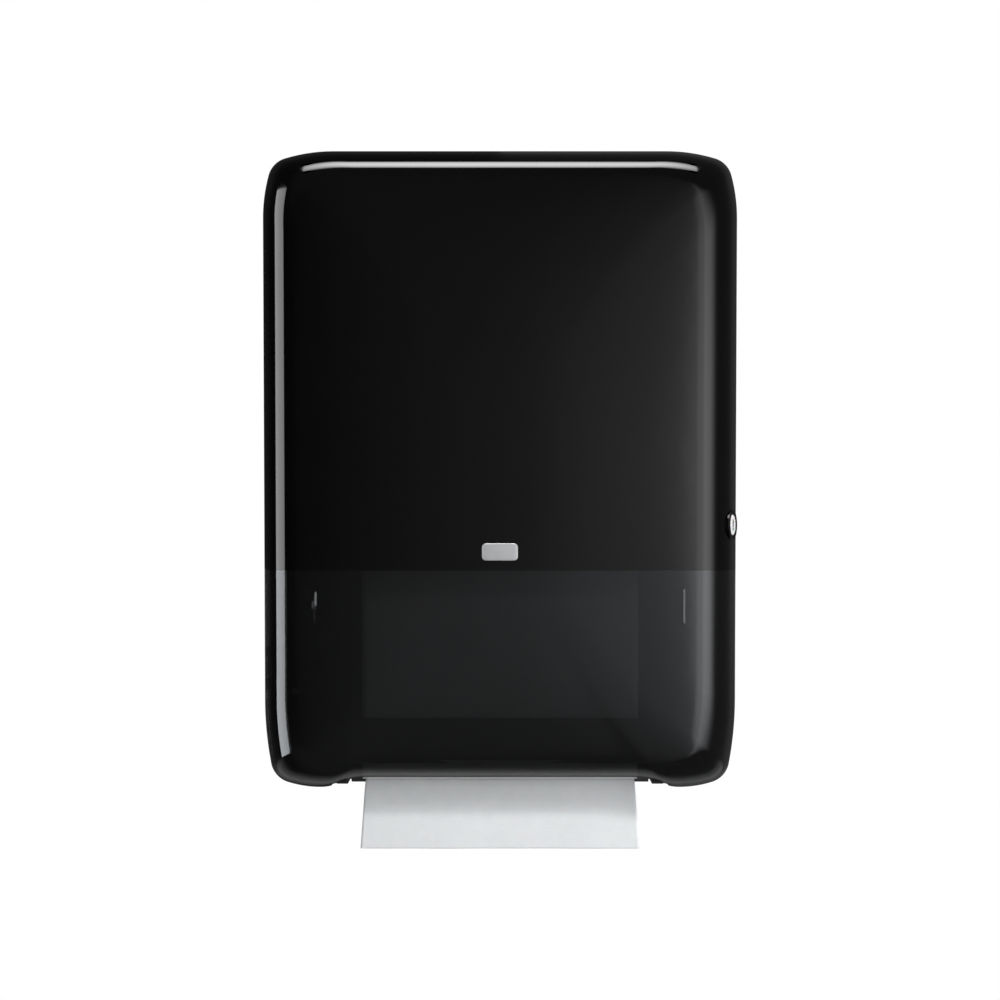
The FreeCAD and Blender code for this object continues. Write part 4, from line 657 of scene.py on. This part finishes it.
smoked = finish("smoked_hard_coated_polycarbonate", "#080808", "#0b0b0b", patch=45, rough=(0.04, 0.07),
                relief=(25, 25, 0.02), IOR=1.585, Specular_Tint=linear("#f0f7ff"), Alpha=0.7,
                Coat_Weight=0.8, Coat_Roughness=0.03, Coat_IOR=1.5)
window.data.materials.append(smoked)
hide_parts("cover_window")
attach(window, "cover")

# Window beads: small upright ramps moulded on the window's face in front of the frame's clips, a straight
# one on the right, and a shorter one on the left with a broad foot. They lean right, where the light is.
BEAD_ROWS = 41
BEAD_SECTION = np.array([[-0.6, -0.51, -0.5, -0.17, 0.17, 0.5, 0.51, 0.0]])
FACE_DEPTH = 98.39
FACE_PLACE = 140
FACE_FALL = 0.038


def bead(middle, top, foot, wide, lean):
    """A wedge along Z. Its section falls to nothing over its width in x, at the lean in degrees from the
    window's face, which itself falls back by 0.038 mm a mm from the middle; both ends fade out."""
    run = np.linspace(0, 1, BEAD_ROWS)[:, None]
    ends = np.clip(np.minimum(run, 1 - run) / 0.05, 0, 1)
    across = BEAD_SECTION * wide
    proud = (wide / 2 - across) * math.tan(math.radians(lean)) * ends
    proud[:, 0] = 0
    proud[:, 6:] = -0.1
    x = middle + across + 0 * run
    face = FACE_DEPTH + FACE_FALL * (FACE_PLACE - np.abs(x))
    points = np.stack([x, -face - proud, top + (foot - top) * run + 0 * x], -1)
    return new_piece("window_bead", points, *capped_faces(BEAD_ROWS, BEAD_SECTION.size, reverse=True))


for line in (bead(-139.0, top=-92.7, foot=-104.2, wide=1.5, lean=13),
             bead(-140.3, top=-100.6, foot=-105.8, wide=3.0, lean=7.7),
             bead(139.1, top=-90.3, foot=-118.1, wide=1.5, lean=9.5)):
    crease(line, 20)
    line.data.materials.append(smoked)
    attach(line, "cover")

# Badge: a plain stamped plate faced with satin silver foil, stuck on the cover above the window. The foil's
# fine brushing spreads the light to an even pale grey. Its edge is rounded, and it bears no mark at all.
BADGE_CORNER = 3.0
BADGE_INNER = np.array([27, 13]) / 2 - BADGE_CORNER
BADGE_BASE = -101.05
BADGE_Z = -63.0
BADGE_SIDES = 96


def badge_plate():
    """Rings of a rounded rectangle, 27 by 13 mm with 3 mm corners: a straight edge, a quarter round of
    0.4 mm, and a face that rises by 0.15 mm as one minus the square of the distance from the middle."""
    turn = np.linspace(0, 2 * np.pi, BADGE_SIDES, endpoint=False)
    ring = np.stack([np.cos(turn), np.sin(turn)], 1)
    ease = np.linspace(0, np.pi / 2, 6)
    radius = BADGE_CORNER - np.concatenate([[0], 0.4 * (1 - np.cos(ease))])
    outer = np.sign(ring) * BADGE_INNER + ring * radius[:, None, None]
    share = np.linspace(1, 0, 9)[1:]
    flat = np.concatenate([outer, outer[-1] * np.maximum(share, 0.01)[:, None, None]])
    proud = np.concatenate([[0], 0.25 + 0.4 * np.sin(ease), 0.65 + 0.15 * (1 - share ** 2)])
    depth = np.broadcast_to(BADGE_BASE - proud[:, None], flat.shape[:2])
    return np.stack([flat[..., 0], depth, flat[..., 1] + BADGE_Z], -1)


plate = badge_plate()
badge = new_piece("plain_badge", plate, *capped_faces(len(plate), BADGE_SIDES))
crease(badge, 40)
satin_silver = finish("satin_silver_foil", "#d2d3d6", "#dfe0e3", patch=8, rough=(0.3, 0.4),
                      relief=(0.3, 3.0, 0.004), Metallic=0.6)
badge.data.materials.append(satin_silver)
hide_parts("badge")
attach(badge, "cover")


# Lock: a ring and barrel of black nylon, satin as moulded, and a glossy white nylon face that catches the
# light and has a plain slot for its key. They have the soft edges of small mouldings; a steel cam is behind.
def turned(name, profile, sides=96):
    """A piece turned about the lock's axis: each profile point (distance along it, radius) becomes a ring of
    points around the axis. A profile whose ends lie on the axis is closed there with flat caps."""
    profile = np.array(profile, float)
    turn = np.linspace(0, 2 * np.pi, sides, endpoint=False)[:, None]
    ring = np.cos(turn) * LOCK_SIDE + np.sin(turn) * np.cross(LOCK_WAY, LOCK_SIDE)
    points = LOCK + profile[:, :1, None] * LOCK_WAY + profile[:, 1:, None] * ring
    return new_piece(name, points, *capped_faces(len(profile), sides))


def rounded(corner, radius, count):
    """A quarter round at a profile's corner, from square to the axis to along it."""
    turn = np.linspace(0, np.pi / 2, count)
    return np.stack([corner[0] + radius * np.sin(turn), corner[1] + radius * np.cos(turn)], 1)


def key_bar(name, start, end, across, tall):
    """A bar through the lock's face, from start to end along the axis, with half its width and height."""
    axes = np.stack([LOCK_WAY, LOCK_SIDE, [0, 0, 1]])
    return bar((start, -across, -tall), (end, across, tall), name, LOCK, axes)


lock_face = turned("lock_face", np.concatenate([
    [(0.3, 0.05), (0.3, 7.8)], rounded((0.45, 7.3), 0.5, 6), [(0.98, 6.6), (1.05, 4.0), (1.08, 0.05)],
]))
shaped(lock_face, "DIFFERENCE", key_bar("tool", 0.1, 3.0, 1.5, 4.2))
crease(lock_face, 40)
gloss_white = finish("gloss_white_nylon", "#ececed", "#f2f2f3", patch=10, rough=(0.2, 0.28),
                     relief=(4, 4, 0.004), IOR=1.53, Subsurface_Weight=0.1, Subsurface_Scale=1 * MM)
lock_face.data.materials.append(gloss_white)
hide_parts("lock_disc")
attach(lock_face, "lock")
black_nylon = finish("black_nylon", "#060606", "#0b0b0b", patch=10, rough=(0.34, 0.42),
                     relief=(4, 4, 0.004), IOR=1.53)
dress(black_nylon, "lock_barrel")
RING_BORE = 8.85
lock_ring = turned("lock_ring_moulding", np.concatenate([
    [(-6.0, 0.05), (-6.0, 10.35), (0.32, 10.35), (0.32, 11.72)], rounded((0.36, 10.83), 0.9, 9),
    [(1.29, 10.2), (1.25, 0.05)],
]))
shaped(lock_ring, "DIFFERENCE", rod(RING_BORE, LOCK - 8 * LOCK_WAY, LOCK + 3 * LOCK_WAY, 96))
crease(lock_ring, 40)
lock_ring.data.materials.append(black_nylon)
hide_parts("lock_ring")
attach(lock_ring, "cover")
key_slot = key_bar("key_slot_insert", 0.35, 0.95, 1.45, 4.15)
key_slot.data.materials.append(black_nylon)
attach(key_slot, "lock")
dress(drawn_steel, "lock_cam", "lock_cam_screw")
dress(satin_abs, "lock_catch")

# Studio: white all round, and for what the gloss shows, a broad soft panel on the right that fades towards
# the middle, a dim room elsewhere, a pale table edge below, and the white backdrop straight behind.
WHITE = linear("#ffffff")
world = bpy.data.worlds.new("studio")
bpy.context.scene.world = world
world.use_nodes = True
sky = world.node_tree
sky.nodes.clear()
direction = add(sky, "ShaderNodeTexCoord").outputs["Generated"]
right, away, up = add(sky, "ShaderNodeSeparateXYZ", {0: direction}).outputs
toward = add(sky, "ShaderNodeMath", {0: away, 1: -1.0}, operation="MULTIPLY")
azimuth = add(sky, "ShaderNodeMath", {0: right, 1: toward}, operation="ARCTAN2")
elevation = add(sky, "ShaderNodeMath", {0: up}, operation="ARCSINE")
height = add(sky, "ShaderNodeMath", {0: elevation}, operation="ABSOLUTE")

# The panel's brightness at each angle round from straight ahead, in degrees.
BRIGHTEST = 2.7
LEVELS = (
    (-180, 0.02), (-160, 0.02), (-48, 0.02), (-19, 0.03), (-8.9, 0.05), (-5, 0.11), (-3.3, 0.14),
    (-1.4, 0.17), (1.4, 0.21), (3.3, 0.32), (5.2, 0.41), (7.1, 0.49), (8, 0.56), (8.9, 0.78), (9.4, 1.45),
    (9.7, 1.9), (15.8, 2.7), (26.6, 2.6), (37, 2.1), (49, 0.8), (57, 0.2), (69, 0.1), (125, 0.08),
    (150, 0.08), (180, 0.02),
)
turn = add(sky, "ShaderNodeMapRange", {0: azimuth, 1: -math.pi, 2: math.pi, 3: 0.0, 4: 1.0})
panel = add(sky, "ShaderNodeValToRGB", {0: turn})
marks = panel.color_ramp.elements
marks.remove(marks[-1])
for order, (degrees, level) in enumerate(LEVELS):
    place = (degrees + 180) / 360
    mark = marks[0] if order == 0 else marks.new(place)
    mark.position = place
    mark.color = (level / BRIGHTEST,) * 3 + (1.0,)

# Each part of what the gloss shows fades smoothly, from one direction and level to another.
fades = {}
for part, source, start, end, first, last in (
    ("panel", height, math.radians(1), math.radians(17), BRIGHTEST, 0.0),
    ("room", height, math.radians(4), math.radians(16), 0.0, 0.08),
    ("room_left", azimuth, math.radians(-60), math.radians(-20), 0.4, 1.0),
    ("table", up, -0.2, -0.45, 0.0, 1.0),
    ("table_back", away, 0.66, 0.96, 1.0, 0.0),
    ("table_front", away, -0.4, 0.6, 0.0, 0.36),
    ("backdrop", away, 0.994, 0.999, 0.0, 1.0),
):
    fades[part] = add(sky, "ShaderNodeMapRange", {0: source, 1: start, 2: end, 3: first, 4: last},
                      interpolation_type="SMOOTHSTEP")
beside = add(sky, "ShaderNodeMath", {0: panel, 1: fades["panel"]}, operation="MULTIPLY")
room = add(sky, "ShaderNodeMath", {0: fades["room"], 1: fades["room_left"]}, operation="MULTIPLY")
table = add(sky, "ShaderNodeMath", {0: fades["table"], 1: fades["table_back"]}, operation="MULTIPLY")
below = add(sky, "ShaderNodeMath", {0: table, 1: fades["table_front"]}, operation="MULTIPLY")
around = add(sky, "ShaderNodeMath", {0: room, 1: below}, operation="MAXIMUM")
indoors = add(sky, "ShaderNodeMath", {0: beside, 1: around}, operation="ADD")
mirrored = add(sky, "ShaderNodeMath", {0: indoors, 1: fades["backdrop"]}, operation="MAXIMUM")
light = add(sky, "ShaderNodeLightPath").outputs
surround = add(sky, "ShaderNodeBackground", {0: WHITE, 1: 0.18})
reflected = add(sky, "ShaderNodeBackground", {0: WHITE, 1: mirrored})
lighting = add(sky, "ShaderNodeMixShader", {0: light["Is Glossy Ray"], 1: surround, 2: reflected})

# Seen through the smoked front alone, the screw holes show a painted shadow: a dark background for a wall in
# the case's shade.
shaded = add(sky, "ShaderNodeMath", {0: light["Transparent Depth"], 1: 2.0, 2: 0.6}, operation="COMPARE")
unshaded = add(sky, "ShaderNodeMath", {0: 1.0, 1: shaded}, operation="SUBTRACT")
shaded_view = add(sky, "ShaderNodeMath", {0: light["Is Camera Ray"], 1: shaded}, operation="MULTIPLY")
open_view = add(sky, "ShaderNodeMath", {0: light["Is Camera Ray"], 1: unshaded}, operation="MULTIPLY")
seen = add(sky, "ShaderNodeMath", {0: open_view, 1: light["Is Transmission Ray"]}, operation="MAXIMUM")
backdrop = add(sky, "ShaderNodeBackground", {0: WHITE, 1: 1.0})
# Painted shadow: the background behind the window's two skins is drawn at a fixed 0.02 instead of lit white.
painted_shadow = add(sky, "ShaderNodeBackground", {0: WHITE, 1: 0.02})
painted_shadow_mix = add(sky, "ShaderNodeMixShader", {0: shaded_view, 1: lighting, 2: painted_shadow})
whole = add(sky, "ShaderNodeMixShader", {0: seen, 1: painted_shadow_mix, 2: backdrop})
add(sky, "ShaderNodeOutputWorld", {0: whole})


def softbox(name, azimuth, elevation, distance, wide, tall, level, falls=(0, 0), brightest=(0.5, 0.5)):
    """A rectangular lamp aimed at the case from an angle to straight ahead. Level is its face's brightness,
    which falls away from its brightest point by the square of the distance, to one minus falls at an edge."""
    azimuth, elevation = math.radians(azimuth), math.radians(elevation)
    data = bpy.data.lights.new(name, "AREA")
    data.shape, data.size, data.size_y = "RECTANGLE", wide, tall
    data.energy = level * math.pi * wide * tall
    data.use_nodes = True
    tree = data.node_tree
    face = add(tree, "ShaderNodeNewGeometry").outputs["Parametric"]
    sides = add(tree, "ShaderNodeSeparateXYZ", {0: face}).outputs
    strength = 1.0
    for side, fall, bright in zip(sides, falls, brightest):
        off = add(tree, "ShaderNodeMath", {0: side, 1: bright}, operation="SUBTRACT")
        square = add(tree, "ShaderNodeMath", {0: off, 1: off}, operation="MULTIPLY")
        slope = -fall / max(bright, 1 - bright) ** 2
        strength = add(tree, "ShaderNodeMath", {0: square, 1: slope, 2: strength}, operation="MULTIPLY_ADD")
    tree.links.new(strength.outputs[0], tree.nodes["Emission"].inputs[1])
    lamp = bpy.data.objects.new(name, data)
    bpy.context.scene.collection.objects.link(lamp)
    flat = math.cos(elevation)
    way = np.array([math.sin(azimuth) * flat, -math.cos(azimuth) * flat, math.sin(elevation)])
    lamp.location = way * distance
    lamp.rotation_euler = (math.pi / 2 - elevation, 0, azimuth)
    return lamp


# The two softboxes are what the gloss shows; the two fills are what the matt surfaces see.
left = softbox("left_softbox", -73.5, 0, 1.6, 0.95, 1.35, 4.9, falls=(0.22, 0.0), brightest=(0.0, 0.5))
overhead = softbox("overhead_softbox", 0, 68.5, 1.5, 1.1, 0.76, 15.0, falls=(0.5, 0.75))
front_fill = softbox("front_fill", 36, 45.5, 4.5, 1.35, 0.47, 72)
right_fill = softbox("right_fill", 55, 5, 1.1, 0.495, 0.605, 5.3)
for gloss in (left, overhead):
    gloss.visible_diffuse = False
for fill in (front_fill, right_fill):
    fill.visible_glossy = False

# Floor: a painted board, pale and matt, a metre and a quarter below the case. To the camera it is nearly
# white, over the shading that keeps the case's shadow on it, and it reaches full white at its far edges.
FLOOR_REACH = 4000
FLOOR_Z = -1250
floor_plan = np.array([[-1, -1], [1, -1], [1, 1], [-1, 1]]) * FLOOR_REACH
floor = new_piece("pale_floor", np.insert(floor_plan, 2, FLOOR_Z, axis=1), np.array([[0, 1, 2, 3]]))
floor.visible_glossy = False
paint = finish("pale_painted_floor", "#ededed", "#f4f4f4", patch=400, rough=(0.8, 0.9),
               relief=(3, 3, 0.05), IOR=1.45)
tree = paint.node_tree
glow = add(tree, "ShaderNodeEmission", {0: WHITE, 1: 1.0})
spot = add(tree, "ShaderNodeTexCoord").outputs["Object"]
distance = add(tree, "ShaderNodeVectorMath", {0: spot}, operation="LENGTH").outputs["Value"]
share = add(tree, "ShaderNodeMapRange", {0: distance, 1: 1.5, 2: 3.6, 3: 0.7, 4: 1.0})
camera_ray = add(tree, "ShaderNodeLightPath").outputs["Is Camera Ray"]
whitened = add(tree, "ShaderNodeMath", {0: camera_ray, 1: share}, operation="MULTIPLY")
lit = add(tree, "ShaderNodeMixShader", {0: whitened, 1: tree.nodes["Principled BSDF"], 2: glow})
tree.links.new(lit.outputs[0], tree.nodes["Material Output"].inputs[0])
floor.data.materials.append(paint)

# Camera: straight in front, a little below the case's middle, two metres away.
lens = bpy.data.cameras.new("camera")
lens.sensor_width = 36
lens.lens = 91.944
camera = bpy.data.objects.new("camera", lens)
bpy.context.scene.collection.objects.link(camera)
camera.location = (0, -2.025, -0.0238)
camera.rotation_euler = (math.pi / 2, 0, 0)
bpy.context.scene.camera = camera
bpy.context.scene.view_settings.view_transform = "Standard"
